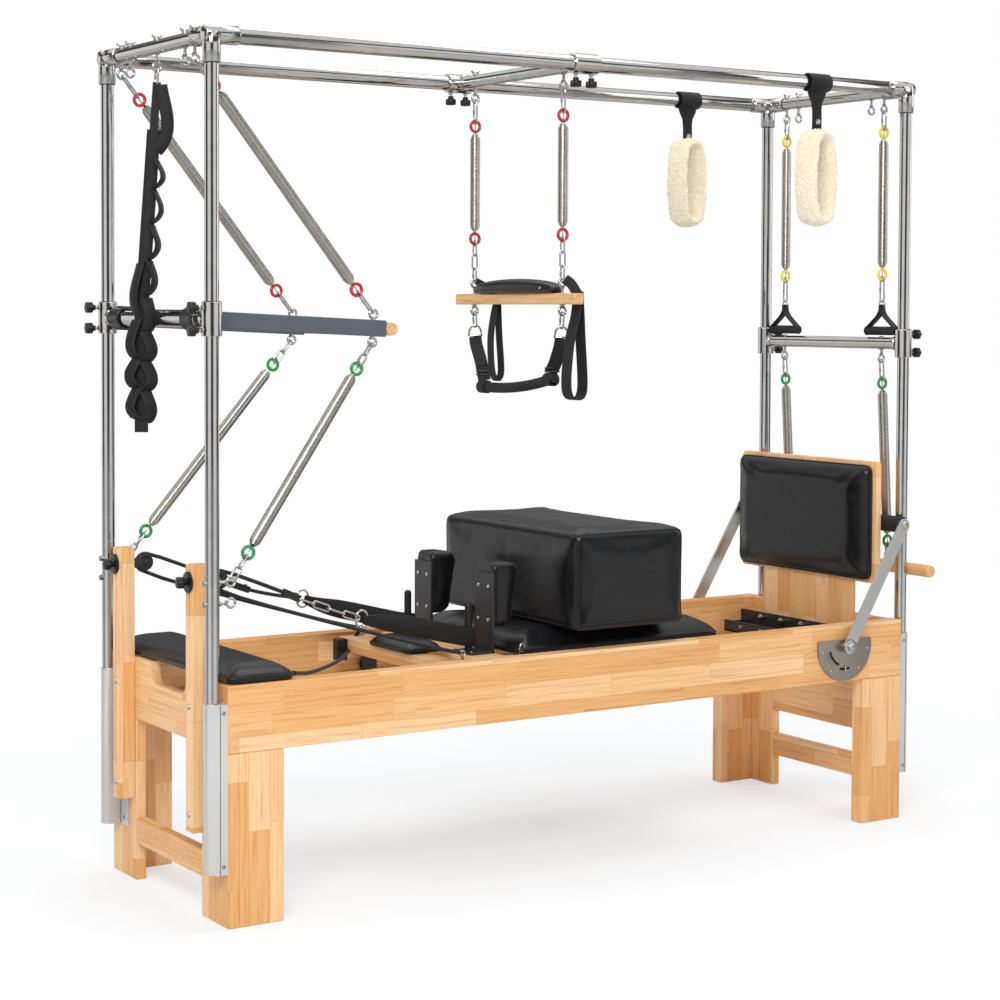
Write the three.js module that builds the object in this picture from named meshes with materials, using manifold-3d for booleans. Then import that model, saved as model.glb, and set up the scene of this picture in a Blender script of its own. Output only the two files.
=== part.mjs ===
// Pilates trapeze table: a wooden sliding-carriage bed under a polished steel tube canopy.
// Millimetres, +Z up. The head end is at -X, the near side is at -Y, the floor is at z = 0.
import * as THREE from "three";
import { mergeVertices } from "three/addons/utils/BufferGeometryUtils.js";
import Module from "manifold-3d";

const wasm = await Module();
wasm.setup();

// Clearances and fineness
const seat_gap = 0.3;
const running_gap = 0.8;
const overrun = 4;
const flatness = 0.02;
const tube_sides = 12;
const wheel_sides = 12;
const disc_sides = 16;
const small_sides = 6;
const shank_sides = 4;
const sunk = 1;
const ring_segments = 8;
const link_segments = 6;
const wire_sides = 3;
const knob_sides = 8;
const fleece_segments = 12;
const fleece_sides = 8;
const cord_sides = 5;
const bar_sides = 18;

// Canopy of tubes
const post_spacing_x = 2250;
const post_spacing_y = 626;
const rail_height = 2150;
const post_diameter = 35;
const long_rail_diameter = 41;
const sleeve_diameter = 45;
const sleeve_drop = 67;
const sleeve_reach = 84;
const sleeve_socket = 34;
const eye_line = 220;
const spare_eye_line = 165;

// Eyebolts with wing nuts
const eye_radius = 11;
const eye_wire = 3.5;
const eye_hang = 50;
const shank_radius = 4.5;
const nut_radius = 8;
const nut_height = 10;
const wing_span = 36;
const wing_height = 14;
const wing_thickness = 5;
const cap_nut_height = 4;

// Bed of wooden boards
const bed_length = 2196;
const bed_width = 694;
const bed_top = 590;
const side_board_height = 165;
const side_board_thickness = 45;
const end_board_thickness = 28;
const end_board_step = 2;
const leg_width = 150;
const stretcher_height = 67;
const stretcher_lift = 97;
const apron_bottom = 240;
const track_top = 474;
const track_height = 20;
const track_width = 30;
const notch_width = 210;
const notch_depth = 54;
const notch_corner = 34;

// Aluminium post brackets on the end faces
const bracket_bottom = 133;
const bracket_length = 414;
const bracket_wall = 3.4;
const bracket_flange = 70;
const bracket_inset = 2;

// Slotted risers with rope pulleys
const riser_line = 223;
const riser_width = 38;
const riser_depth = 46;
const riser_bottom = 218;
const pulley_height = 832;
const riser_over_pulley = 43;
const riser_slot_width = 8;
const slot_below_pulley = 260;
const slot_above_pulley = 18;
const riser_low_bolt = 261;
const riser_bolt_under_slot = 46;
const riser_bolt_radius = 7;
const riser_bolt_head = 3;
const pulley_reach = 36;
const sheave_radius = 22;
const sheave_groove_radius = 17;
const sheave_width = 14;
const axle_radius = 4;
const fork_thickness = 3;
const fork_height = 26;
const clamp_disc_radius = 26;
const clamp_disc_thickness = 7;
const knob_radius = 15;
const knob_length = 26;

// Platform and carriage
const platform_length = 193;
const platform_thickness = 45;
const carriage_head_end = 445;
const carriage_foot_end = 476;
const carriage_half_width = 285;
const carriage_top = 580;
const carriage_board_height = 38;
const carriage_board_width = 42;
const carriage_cross_width = 60;
const shoulder_board_x = -285;
const shoulder_board_width = 100;
const wheel_radius = 20;
const wheel_width = 16;
const wheel_inset = 90;
const wheel_line = 288;
const hanger_width = 12;
const hanger_length = 44;
const cleat_x = -385;
const cleat_line = 268;
const cleat_radius = 7;
const cleat_height = 28;
const pad_head_end = 222;
const pad_half_width = 288;
const pad_top = 640;
const cushion_corner = 34;
const cushion_edge = 14;
const crown_limit = 20;
const headrest_length = 130;
const headrest_width = 224;
const headrest_thickness = 36;
const headrest_x = -400;

// Shoulder rests
const shoulder_line = 158;
const shoulder_plate_x = -249;
const shoulder_plate_width = 89;
const shoulder_plate_thickness = 6;
const shoulder_top = 800;
const shoulder_pad_depth = 76;
const shoulder_pad_bottom = 648;
const shoulder_plate_top = 788;
const shoulder_pad_waist = 12;
const peg_x = -297;
const peg_radius = 10;
const peg_top = 712;

// Sitting box
const sitting_box_x = 112;
const sitting_box_length = 375;
const sitting_box_width = 686;
const sitting_box_height = 272;
const sitting_box_corner = 16;

// Jump board, spring bar and foot bar
const jump_board_x = 1029;
const jump_board_thickness = 22;
const jump_board_width = 612;
const jump_board_bottom = 695;
const jump_board_top = 1055;
const jump_neck_width = 400;
const jump_neck_bottom = 456;
const jump_pad_depth = 44;
const jump_pad_margin = 3;
const shelf_reach = 30;
const shelf_height = 16;
const guide_width = 50;
const spring_plate_thickness = 6;
const spring_plate_top = 552;
const spring_plate_height = 60;
const spring_beam_depth = 92;
const spring_beam_height = 36;
const stud_spacing = 95;
const stud_count = 5;
const stud_radius = 7;
const stud_length = 14;
const stud_drop = 14;
const pivot_x = 871;
const pivot_height = 530;
const quadrant_radius = 102;
const quadrant_rise = 19;
const quadrant_thickness = 6;
const quadrant_slot_width = 7;
const quadrant_slot_inner = 34;
const quadrant_slot_outer = 80;
const foot_arm_line = 370;
const foot_arm_width = 33;
const foot_arm_thickness = 8;
const foot_bar_radius = 24;
const foot_bar_gap = 1.5;
const foot_bar_height = 872;
const washer_radius = 22;
const washer_thickness = 5;
const pivot_bolt_radius = 11;
const pivot_bolt_head = 8;

// Cross tubes with clamps
const crossbar_diameter = 35;
const clamp_radius = 25;
const clamp_height = 82;
const head_crossbar_share = 0.68465;
const foot_crossbar_share = 0.65302;
const clamp_knob_radius = 13;
const clamp_knob_length = 26;
const clamp_stud_length = 12;
const clamp_stud_radius = 5;
const clamp_knob_spacing = 54;
const trapeze_x = -40;
const trapeze_clamp_length = 80;
const trapeze_clamp_radius = 27;
const trapeze_knob_radius = 11;
const trapeze_knob_spacing = 50;

// Push-through bar
const push_sleeve_radius = 22.5;
const push_collar_radius = 33;
const push_collar_width = 74;
const push_arm_length = 530;
const push_arm_height = 42;
const push_arm_width = 26;
const push_slope_deg = 2.6;
const push_grip_radius = 17;
const push_eye_reach = 497;
const push_eye_rise = 15;

// Springs: radius, what joins the wound body to its eyes, and the body's share of the way between them
const spring_radius = 14.5;
const spring_curls = 4;
const spring_tip_radius = 6;
const spring_taper = 26;
const spring_ribbon_share = 0.46;
const spring_wire = 2.6;
const spring_stem = 2.2;
const stem_length = 6.6;
const ring_radius = 15.5;
const ring_wire = 3.5;
const link_radius = 8;
const link_wire = 2.8;
const slant_clearance = 2.5;
const red_spring_share = 0.74454;
const low_green_spring_share = 0.70912;
const trapeze_spring_share = 0.52462;
const yellow_spring_share = 0.7147;
const roll_spring_share = 0.73266;
const post_eye_height = 838;
const spare_post_eye_height = 787;
const post_eye_reach = 50;

// Trapeze
const trapeze_hang_share = 0.2893;
const trapeze_bar_half = 300;
const trapeze_bar_radius = 15;
const trapeze_eye_rise = 44;
const trapeze_pad_half = 188;
const trapeze_pad_width = 62;
const trapeze_pad_height = 38;
const webbing_width = 36;
const webbing_thickness = 4;
const sling_ring_drop = 96;
const sling_ring_radius = 18;
const sling_top_line = 203;
const sling_low_line = 176;
const sling_strap_drop = 252;
const grip_radius = 15;
const grip_sag = 26;
const grip_drop = 238;
const far_strap_line = 128;
const near_loop_line = 278;
const near_loop_drop = 272;
const near_loop_half = 24;

// Hand straps on the yellow springs, and the roll-down bar
const hand_grip_half = 66;
const hand_grip_radius = 14;
const hand_grip_clearance = cap_nut_height + 1;
const hand_strap_width = 25;
const hand_strap_band = 8;
const hand_strap_rise = 78;
const hand_ring_rise = 80;
const roll_bar_half = 405;
const roll_bar_radius = 18;
const roll_bar_share = 0.34093;
const roll_bar_rest_gap = 0.05;
const roll_eye_rise = 34;

// Fleece loops and the strap of many loops
const near_fleece_x = 777;
const far_fleece_x = 800;
const fleece_cuff_length = 90;
const fleece_cuff_radius = 28;
const fleece_strap_width = 40;
const fleece_strap_thickness = 6;
const fleece_hang = 154;
const fleece_radius = 50;
const fleece_roll = 24;
const fleece_stretch = 59;
const loop_strap_width = 34;
const loop_strap_hang = 88;
const loop_strap_length = 879;
const loop_strap_lean = 44;
const loop_strap_wave = 11;
const loop_strap_neck = 5;
const loop_strap_count = 9;
const loop_link_radius = 5;

// Ropes with webbing hand loops
const rope_radius = 5;
const band_height = 46;
const band_thickness = 3;
const buckle_length = 56;
const buckle_height = 18;
const buckle_width = 14;
const rope_exit_height = 603;
const drawn_pulley_height = 832;
const rope_meets_pulley_deg = 249;
const rope_leaves_pulley_deg = 72;

// Places worked out from the sizes above
const post_x = post_spacing_x / 2;
const post_y = post_spacing_y / 2;
const bed_end = bed_length / 2;
const bed_side = bed_width / 2;
const bed_inner = bed_side - side_board_thickness;
const post_radius = post_diameter / 2;
const rail_radius = long_rail_diameter / 2;
const sleeve_radius = sleeve_diameter / 2;
const crossbar_radius = crossbar_diameter / 2;
const eye_height = rail_height - eye_hang;
const head_crossbar_height = rail_height * head_crossbar_share;
const foot_crossbar_height = rail_height * foot_crossbar_share;
const trapeze_bar_height = rail_height * (1 - trapeze_hang_share);
const roll_bar_height = rail_height * roll_bar_share;
const fleece_top = rail_height - fleece_hang;
const loop_strap_top = rail_height - loop_strap_hang;
const loop_strap_bottom = loop_strap_top - loop_strap_length;
const riser_top = pulley_height + riser_over_pulley;
const riser_slot_bottom = pulley_height - slot_below_pulley;
const riser_slot_top = pulley_height + slot_above_pulley;
const side_board_bottom = bed_top - side_board_height;
const leg_top = side_board_bottom - seat_gap;
const head_board_top = bed_top - end_board_step;
const foot_bar_x = post_x - post_radius - foot_bar_radius - foot_bar_gap;
const roll_bar_x = post_x + post_radius + roll_bar_radius + roll_bar_rest_gap;
const push_slope = THREE.MathUtils.degToRad(push_slope_deg);
const board_back = jump_board_x + jump_board_thickness;

// Materials
const paint = (color, roughness, metalness) =>
  new THREE.MeshStandardMaterial({ color, roughness, metalness });
const wood = () => paint(0xdba362, 0.45, 0);
const dowel_wood = () => paint(0xcf9350, 0.4, 0);
const chrome = () => paint(0xc9ccd0, 0.12, 1);
const satin = () => paint(0xb9bbbd, 0.4, 1);
const spring_steel = () => paint(0x9b9893, 0.3, 1);
const slate = () => paint(0x3b4048, 0.45, 0.4);
const black_steel = () => paint(0x17181a, 0.4, 0.3);
const leather = () => paint(0x17171a, 0.42, 0);
const webbing = () => paint(0x121214, 0.8, 0);
const fleece = () => paint(0xeadfc8, 0.95, 0);
const warm_grey = () => paint(0x77716a, 0.45, 0.6);

const part = new THREE.Group();

function add(name, geometry, material, parent = part) {
  const mesh = new THREE.Mesh(geometry, material);
  mesh.name = name;
  parent.add(mesh);
  return mesh;
}

// Solids: a closed geometry goes into the kernel and comes back joined or cut
function toSolid(geometry) {
  const bare = new THREE.BufferGeometry();
  bare.setAttribute("position", geometry.getAttribute("position").clone());
  if (geometry.index) bare.setIndex(geometry.index.clone());
  const merged = mergeVertices(bare);
  return new wasm.Manifold(
    new wasm.Mesh({
      numProp: 3,
      vertProperties: new Float32Array(merged.getAttribute("position").array),
      triVerts: new Uint32Array(merged.index.array),
    }),
  );
}

// Faces left in one plane by the joining are merged again, to within the flatness
function fromSolid(solid) {
  const shape = solid.asOriginal().simplify(flatness).getMesh();
  const geometry = new THREE.BufferGeometry();
  geometry.setAttribute("position", new THREE.BufferAttribute(shape.vertProperties, 3));
  geometry.setIndex(new THREE.BufferAttribute(shape.triVerts, 1));
  geometry.computeVertexNormals();
  return geometry;
}

function join(...geometries) {
  return fromSolid(geometries.map(toSolid).reduce((all, one) => all.add(one)));
}

function cut(base, ...tools) {
  return fromSolid(tools.map(toSolid).reduce((all, one) => all.subtract(one), toSolid(base)));
}

// Simple shapes, placed where they lie
const v = (x, y, z) => new THREE.Vector3(x, y, z);

function block([x0, x1], [y0, y1], [z0, z1]) {
  const geometry = new THREE.BoxGeometry(x1 - x0, y1 - y0, z1 - z0);
  return geometry.translate((x0 + x1) / 2, (y0 + y1) / 2, (z0 + z1) / 2);
}

// A span measured from the middle out to one side, in rising order
const span = (sign, inner, outer) => (sign < 0 ? [-outer, -inner] : [inner, outer]);

function turned(geometry, from, direction, at) {
  const turn = new THREE.Quaternion().setFromUnitVectors(from, direction.clone().normalize());
  return geometry.applyQuaternion(turn).translate(at.x, at.y, at.z);
}

function rod(a, b, radius, sides = tube_sides) {
  const along = b.clone().sub(a);
  const geometry = new THREE.CylinderGeometry(radius, radius, along.length(), sides);
  return turned(geometry, v(0, 1, 0), along, a.clone().add(b).multiplyScalar(1 / 2));
}

function ring(centre, axis, radius, wire, segments = ring_segments, sides = wire_sides) {
  const geometry = new THREE.TorusGeometry(radius, wire, sides, segments);
  return turned(geometry, v(0, 0, 1), axis, centre);
}

// A ring whose two halves are moved apart along Z, in the YZ plane
function longRing(middle, radius, wire, stretch, segments = link_segments, sides = wire_sides) {
  const geometry = new THREE.TorusGeometry(radius, wire, sides, segments);
  if (segments % 4 === 0) geometry.rotateZ(Math.PI / segments);
  geometry.rotateY(Math.PI / 2);
  const points = geometry.getAttribute("position");
  for (let i = 0; i < points.count; i += 1) {
    points.setZ(i, points.getZ(i) + Math.sign(points.getZ(i)) * (stretch / 2));
  }
  return geometry.translate(middle.x, middle.y, middle.z);
}

const wound = (points, clockwise) =>
  THREE.ShapeUtils.isClockWise(points) === clockwise ? points : [...points].reverse();

function extrude(outline, holes, depth) {
  const shape = new THREE.Shape(wound(outline, false));
  shape.holes = holes.map((hole) => new THREE.Path(wound(hole, true)));
  return new THREE.ExtrudeGeometry(shape, { depth, bevelEnabled: false });
}

const p2 = (x, y) => new THREE.Vector2(x, y);

function arc(cx, cy, radius, from, to, steps) {
  const points = [];
  for (let i = 0; i <= steps; i += 1) {
    const angle = from + ((to - from) * i) / steps;
    points.push(p2(cx + radius * Math.cos(angle), cy + radius * Math.sin(angle)));
  }
  return points;
}

// An outline drawn in XZ, extruded along Y from y0 to y1
function acrossY(outline, holes, y0, y1) {
  return extrude(outline, holes, y1 - y0).rotateX(Math.PI / 2).translate(0, y1, 0);
}

// An outline drawn in YZ, extruded along X from x0 to x1
function alongX(outline, holes, x0, x1) {
  const turn = new THREE.Matrix4().makeBasis(v(0, 1, 0), v(0, 0, 1), v(1, 0, 0));
  return extrude(outline, holes, x1 - x0).applyMatrix4(turn).translate(x0, 0, 0);
}

// The radius at which a tube's flat-sided bore still clears a flat-sided tube that turns in it
const turningBore = (radius) => (radius + seat_gap) / Math.cos(Math.PI / tube_sides);

// A span whose two ends come in either order
const between = (a, b) => [Math.min(a, b), Math.max(a, b)];

// Rings of points joined into one closed skin, with a fan over each end
function skin(rings) {
  const count = rings[0].length;
  const positions = rings.flat().flatMap((p) => [p.x, p.y, p.z]);
  const triangles = [];
  for (let r = 0; r + 1 < rings.length; r += 1) {
    for (let i = 0; i < count; i += 1) {
      const a = r * count + i;
      const b = r * count + ((i + 1) % count);
      triangles.push(a, b, b + count, a, b + count, a + count);
    }
  }
  for (const [ringIndex, flip] of [[0, true], [rings.length - 1, false]]) {
    const middle = rings[ringIndex].reduce((sum, p) => sum.add(p), v(0, 0, 0));
    middle.multiplyScalar(1 / count);
    const hub = positions.length / 3;
    positions.push(middle.x, middle.y, middle.z);
    for (let i = 0; i < count; i += 1) {
      const a = ringIndex * count + i;
      const b = ringIndex * count + ((i + 1) % count);
      triangles.push(...(flip ? [b, a, hub] : [a, b, hub]));
    }
  }
  const geometry = new THREE.BufferGeometry();
  geometry.setAttribute("position", new THREE.Float32BufferAttribute(positions, 3));
  geometry.setIndex(triangles);
  return geometry;
}

// A round cord with a section at each of the given points, turned as little as the path allows
function cord(points, radius, sides) {
  const tangents = points.map((point, i) => {
    const before = points[Math.max(i - 1, 0)];
    const after = points[Math.min(i + 1, points.length - 1)];
    return after.clone().sub(before).normalize();
  });
  const across = v(0, 1, 0).cross(tangents[0]).normalize();
  const sections = points.map((point, i) => {
    if (i > 0) {
      const bend = new THREE.Quaternion().setFromUnitVectors(tangents[i - 1], tangents[i]);
      across.applyQuaternion(bend);
    }
    const up = tangents[i].clone().cross(across);
    return arc(0, 0, radius, 0, 2 * Math.PI, sides)
      .slice(0, sides)
      .map((p) => point.clone().addScaledVector(across, p.x).addScaledVector(up, p.y));
  });
  return skin(sections);
}

// A stuffed cushion on its base: sides drawn in at the seams, a soft edge and a crown
function cushion(width, depth, height, corner = cushion_corner, edge = cushion_edge) {
  const corner_steps = 2;
  const drawn_share = 0.25;
  const crown_share = 0.28;
  const loop = (inset, z, scale) => {
    const points = [];
    for (let quarter = 0; quarter < 4; quarter += 1) {
      const sx = quarter === 0 || quarter === 3 ? 1 : -1;
      const sy = quarter < 2 ? 1 : -1;
      for (let i = 0; i <= corner_steps; i += 1) {
        const angle = ((quarter + i / corner_steps) * Math.PI) / 2;
        const x = sx * (width / 2 - corner) + (corner - inset) * Math.cos(angle);
        const y = sy * (depth / 2 - corner) + (corner - inset) * Math.sin(angle);
        points.push(v(x * scale, y * scale, z));
      }
    }
    return points;
  };
  const crown = Math.min(height * crown_share, crown_limit);
  const shoulder = height - crown;
  const rings = [
    loop(edge * drawn_share, 0, 1),
    loop(0, shoulder / 2, 1),
    loop(edge * drawn_share, shoulder - edge * drawn_share, 1),
    loop(edge, shoulder + crown / 3, 1),
  ];
  const top_shares = [0.82, 0.55];
  for (const share of top_shares) {
    rings.push(loop(edge, height - (crown * 2 * share * share * share) / 3, share));
  }
  rings.push(loop(edge, height, 1 / 4));
  return skin(rings);
}

// An eyebolt through a tube: nut on top, ring below, ring axis along Y
function eyebolt(x, y, tubeAxis, tubeRadius, eyeZ, winged = true) {
  const top = tubeAxis + tubeRadius + (winged ? nut_height : cap_nut_height);
  const pieces = [
    rod(v(x, y, eyeZ + eye_radius), v(x, y, tubeAxis), shank_radius, shank_sides),
    rod(v(x, y, tubeAxis), v(x, y, top), nut_radius, small_sides),
    ring(v(x, y, eyeZ), v(0, 1, 0), eye_radius, eye_wire),
  ];
  if (!winged) return pieces;
  const wing = wing_span / 2;
  const wingBottom = top - nut_height / 2;
  const wingY = [y - wing_thickness / 2, y + wing_thickness / 2];
  return [...pieces, block([x - wing, x + wing], wingY, [wingBottom, wingBottom + wing_height])];
}

// A hand knob on its stud, reaching from a start point along X
function knob(x, y, z, sign, studLength, radius, length) {
  const grip = x + sign * studLength;
  return [
    rod(v(x, y, z), v(grip + sign * overrun, y, z), clamp_stud_radius, shank_sides),
    rod(v(grip, y, z), v(grip + sign * length, y, z), radius, knob_sides),
  ];
}

// Bed: side boards with a track ledge inside
for (const [side, sign] of [["near", -1], ["far", 1]]) {
  const board = block([-bed_end, bed_end], span(sign, bed_inner, bed_side), [
    side_board_bottom,
    bed_top,
  ]);
  const track = block(
    [-bed_end + leg_width, bed_end - leg_width],
    span(sign, bed_inner - track_width, bed_inner + overrun),
    [track_top - track_height, track_top],
  );
  add(`${side}_side_board`, join(board, track), wood());
}

// End frames: end board, two L-shaped legs and a stretcher, glued up as one
function endFrame(sign) {
  const skinX = span(sign, bed_end - end_board_thickness, bed_end);
  const inner = bed_inner - seat_gap;
  const legInner = bed_side - leg_width;
  const pieces = [
    block(skinX, [-inner, inner], [leg_top - overrun, head_board_top]),
    block(skinX, [-legInner - overrun, legInner + overrun], [
      stretcher_lift,
      stretcher_lift + stretcher_height,
    ]),
  ];
  for (const ySign of [-1, 1]) {
    pieces.push(block(skinX, span(ySign, legInner, bed_side), [0, leg_top]));
    const legX = span(sign, bed_end - leg_width, bed_end);
    pieces.push(block(legX, span(ySign, bed_inner, bed_side), [0, leg_top]));
  }
  return pieces;
}

const half_notch = notch_width / 2;
const notch_low = head_board_top - notch_depth;
const notch_outline = [
  p2(half_notch, head_board_top + overrun),
  p2(-half_notch, head_board_top + overrun),
  ...arc(-half_notch + notch_corner, notch_low + notch_corner, notch_corner, -Math.PI, -Math.PI / 2, 4),
  ...arc(half_notch - notch_corner, notch_low + notch_corner, notch_corner, -Math.PI / 2, 0, 4),
];
const notch = alongX(notch_outline, [], -bed_end - overrun, -bed_end + end_board_thickness + overrun);
add("head_end_frame", cut(join(...endFrame(-1)), notch), wood());

const legInner = bed_side - leg_width;
const footInnerX = bed_end - end_board_thickness;
const shelfTop = jump_neck_bottom - seat_gap;
const footPieces = [
  block([footInnerX, bed_end], [-legInner - overrun, legInner + overrun], [apron_bottom, leg_top]),
  block([jump_board_x - shelf_reach, footInnerX + overrun], [-jump_neck_width / 2, jump_neck_width / 2], [
    shelfTop - shelf_height,
    shelfTop,
  ]),
];
for (const sign of [-1, 1]) {
  footPieces.push(
    block(
      [board_back + seat_gap, footInnerX + overrun],
      span(sign, jump_neck_width / 2 - guide_width, jump_neck_width / 2),
      [shelfTop - overrun, head_board_top],
    ),
  );
}
add("foot_end_frame", join(...endFrame(1), ...footPieces), wood());

// Canopy posts, with two eyebolts through each head post
const socketTop = rail_height - sleeve_drop + sleeve_socket;
function postAt(xSign, ySign) {
  const shaft = rod(v(0, 0, bracket_bottom), v(0, 0, socketTop - seat_gap), post_radius);
  if (xSign > 0) return shaft;
  const pieces = [shaft];
  for (const height of [post_eye_height, spare_post_eye_height]) {
    const nutEnd = -post_radius - nut_height;
    const shankEnd = v(post_eye_reach - eye_radius, 0, height);
    pieces.push(rod(v(nutEnd, 0, height), shankEnd, shank_radius, shank_sides));
    pieces.push(rod(v(nutEnd, 0, height), v(0, 0, height), nut_radius, small_sides));
    pieces.push(ring(v(post_eye_reach, 0, height), v(0, 1, 0), eye_radius, eye_wire));
  }
  return join(...pieces);
}

// Bracket: a hat-shaped extrusion that wraps the post, with a flange on the end face
const face = post_x - bed_end - seat_gap;
const wallLine = bed_side - post_y - bracket_inset;
const boreRadius = post_radius + seat_gap;
const bulge = boreRadius + bracket_wall;
const bracket_outline = [
  p2(face, wallLine),
  p2(0, wallLine),
  ...arc(0, 0, bulge, (Math.PI * 2) / 3, (Math.PI * 3) / 2, 10),
  p2(face - bracket_wall, -bulge),
  p2(face - bracket_wall, -bracket_flange),
  p2(face, -bracket_flange),
];
const bracket_bore = arc(0, 0, boreRadius, 0, 2 * Math.PI, tube_sides).slice(0, tube_sides);

for (const [end, xSign] of [["head", -1], ["foot", 1]]) {
  for (const [side, ySign] of [["near", -1], ["far", 1]]) {
    const post = add(`${end}_${side}_post`, postAt(xSign, ySign), chrome());
    post.position.set(xSign * post_x, ySign * post_y, 0);
    // The outline is drawn for u towards the bed and v outwards, so both are mirrored to suit
    const flip = (points) => points.map((p) => p2(-xSign * p.x, ySign * p.y));
    const sleeve = extrude(flip(bracket_outline), [flip(bracket_bore)], bracket_length);
    const bracket = add(`${end}_${side}_post_bracket`, sleeve, satin());
    bracket.position.set(xSign * post_x, ySign * post_y, bracket_bottom);
  }
}

// Long top rails with their corner sleeves
for (const [side, sign] of [["near", -1], ["far", 1]]) {
  const y = sign * post_y;
  const inner = (reach) => sign * (post_y - reach);
  const tubeEnd = post_x + sleeve_radius;
  const shapes = [rod(v(-tubeEnd, y, rail_height), v(tubeEnd, y, rail_height), rail_radius)];
  const bores = [];
  for (const xSign of [-1, 1]) {
    const x = xSign * post_x;
    const top = rail_height + sleeve_radius;
    const low = rail_height - sleeve_drop;
    shapes.push(rod(v(x, y, low), v(x, y, top), sleeve_radius));
    shapes.push(rod(v(x, y, rail_height), v(x, inner(sleeve_reach), rail_height), sleeve_radius));
    bores.push(rod(v(x, y, low - overrun), v(x, y, socketTop), post_radius + seat_gap));
    const socketEnd = inner(sleeve_reach - sleeve_socket);
    const socketMouth = inner(sleeve_reach + overrun);
    bores.push(rod(v(x, socketMouth, rail_height), v(x, socketEnd, rail_height), post_radius + seat_gap));
  }
  add(`${side}_top_rail`, cut(join(...shapes), ...bores), chrome());
}

// End rails across the canopy, with eyebolts
const endRailHalf = post_y - sleeve_reach + sleeve_socket - seat_gap;
for (const [end, xSign, extra] of [["head", -1, [0]], ["foot", 1, []]]) {
  const x = xSign * post_x;
  const lines = [-eye_line, -spare_eye_line, ...extra, spare_eye_line, eye_line];
  const bolts = lines.flatMap((y) => eyebolt(x, y, rail_height, post_radius, eye_height));
  const rail = rod(v(x, -endRailHalf, rail_height), v(x, endRailHalf, rail_height), post_radius);
  add(`${end}_top_rail`, join(rail, ...bolts), chrome());
}

// Slotted risers outside the head end board, with the fork of each rope pulley
const riserFace = bed_end + seat_gap;
const pulleyX = -riserFace + pulley_reach;
for (const [side, sign] of [["near", -1], ["far", 1]]) {
  const y = sign * riser_line;
  const half = riser_width / 2;
  const outerX = -riserFace - riser_depth;
  const timber = block([outerX, -riserFace], [y - half, y + half], [riser_bottom, riser_top]);
  const slotY = [y - riser_slot_width / 2, y + riser_slot_width / 2];
  const slotZ = [riser_slot_bottom, riser_slot_top];
  const slot = block([outerX - overrun, -riserFace + overrun], slotY, slotZ);
  const cheek = sheave_width / 2 + running_gap;
  const forkHalf = cheek + fork_thickness;
  const forkZ = [pulley_height - fork_height / 2, pulley_height + fork_height / 2];
  const discEnd = outerX - clamp_disc_thickness;
  const disc = [v(outerX + overrun, y, pulley_height), v(discEnd, y, pulley_height)];
  const fittings = [
    rod(...disc, clamp_disc_radius, disc_sides),
    ...knob(discEnd, y, pulley_height, -1, 0, knob_radius, knob_length),
    block([-riserFace - overrun, -riserFace + fork_height / 2], [y - forkHalf, y + forkHalf], forkZ),
  ];
  for (const cheekSign of [-1, 1]) {
    const cheekY = between(y + cheekSign * cheek, y + cheekSign * forkHalf);
    fittings.push(block([-riserFace, pulleyX + axle_radius * 2], cheekY, forkZ));
  }
  for (const height of [riser_low_bolt, riser_slot_bottom - riser_bolt_under_slot]) {
    const bolt = [v(outerX + overrun, y, height), v(outerX - riser_bolt_head, y, height)];
    fittings.push(rod(...bolt, riser_bolt_radius, small_sides));
  }
  const acrossFork = (half) => [v(pulleyX, y - half, pulley_height), v(pulleyX, y + half, pulley_height)];
  const ropeRoom = sheave_radius + rope_radius * 2 + running_gap;
  const forkRoom = rod(...acrossFork(cheek), ropeRoom, disc_sides);
  const axle = rod(...acrossFork(cheek + fork_thickness / 2), axle_radius, small_sides);
  const body = cut(join(cut(timber, slot), ...fittings), forkRoom);
  add(`${side}_riser`, join(body, axle), wood());

  const wall = sheave_width / 2;
  const groove = sheave_width / 4;
  const bore = axle_radius + seat_gap;
  const profile = [
    p2(bore, -wall),
    p2(sheave_radius, -wall),
    p2(sheave_groove_radius, -groove),
    p2(sheave_groove_radius, groove),
    p2(sheave_radius, wall),
    p2(bore, wall),
    p2(bore, -wall),
  ];
  const sheave = add(`${side}_pulley`, new THREE.LatheGeometry(profile, disc_sides), black_steel());
  sheave.position.set(pulleyX, y, pulley_height);
}

// Head platform cushion, across both side boards
const platform = cushion(platform_length, bed_width - 2 * bracket_inset, platform_thickness);
add("head_platform_pad", platform, leather()).position.set(
  -bed_end + platform_length / 2 + bracket_inset,
  0,
  bed_top + seat_gap,
);

// Carriage: wooden frame on four wheels, with a rope cleat at each side of its head end
const boardZ = [carriage_top - carriage_board_height, carriage_top];
const carriagePieces = [];
for (const sign of [-1, 1]) {
  const sideY = span(sign, carriage_half_width - carriage_board_width, carriage_half_width);
  carriagePieces.push(block([-carriage_head_end, carriage_foot_end], sideY, boardZ));
  for (const wheelX of [-carriage_head_end + wheel_inset, carriage_foot_end - wheel_inset]) {
    const axis = track_top + wheel_radius + seat_gap;
    const outer = sign * (wheel_line + wheel_width / 2);
    const inner = sign * (wheel_line - wheel_width / 2);
    carriagePieces.push(rod(v(wheelX, inner, axis), v(wheelX, outer, axis), wheel_radius, wheel_sides));
    const wheelFace = wheel_line - wheel_width / 2;
    carriagePieces.push(
      block(
        [wheelX - hanger_length / 2, wheelX + hanger_length / 2],
        span(sign, wheelFace - hanger_width, wheelFace + running_gap),
        [axis - axle_radius * 2, carriage_top - carriage_board_height / 2],
      ),
    );
  }
  const cleat = v(cleat_x, sign * cleat_line, carriage_top - overrun);
  carriagePieces.push(rod(cleat, cleat.clone().setZ(carriage_top + cleat_height), cleat_radius, small_sides));
}
const crossY = [-carriage_half_width, carriage_half_width];
const halfShoulderBoard = shoulder_board_width / 2;
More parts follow.
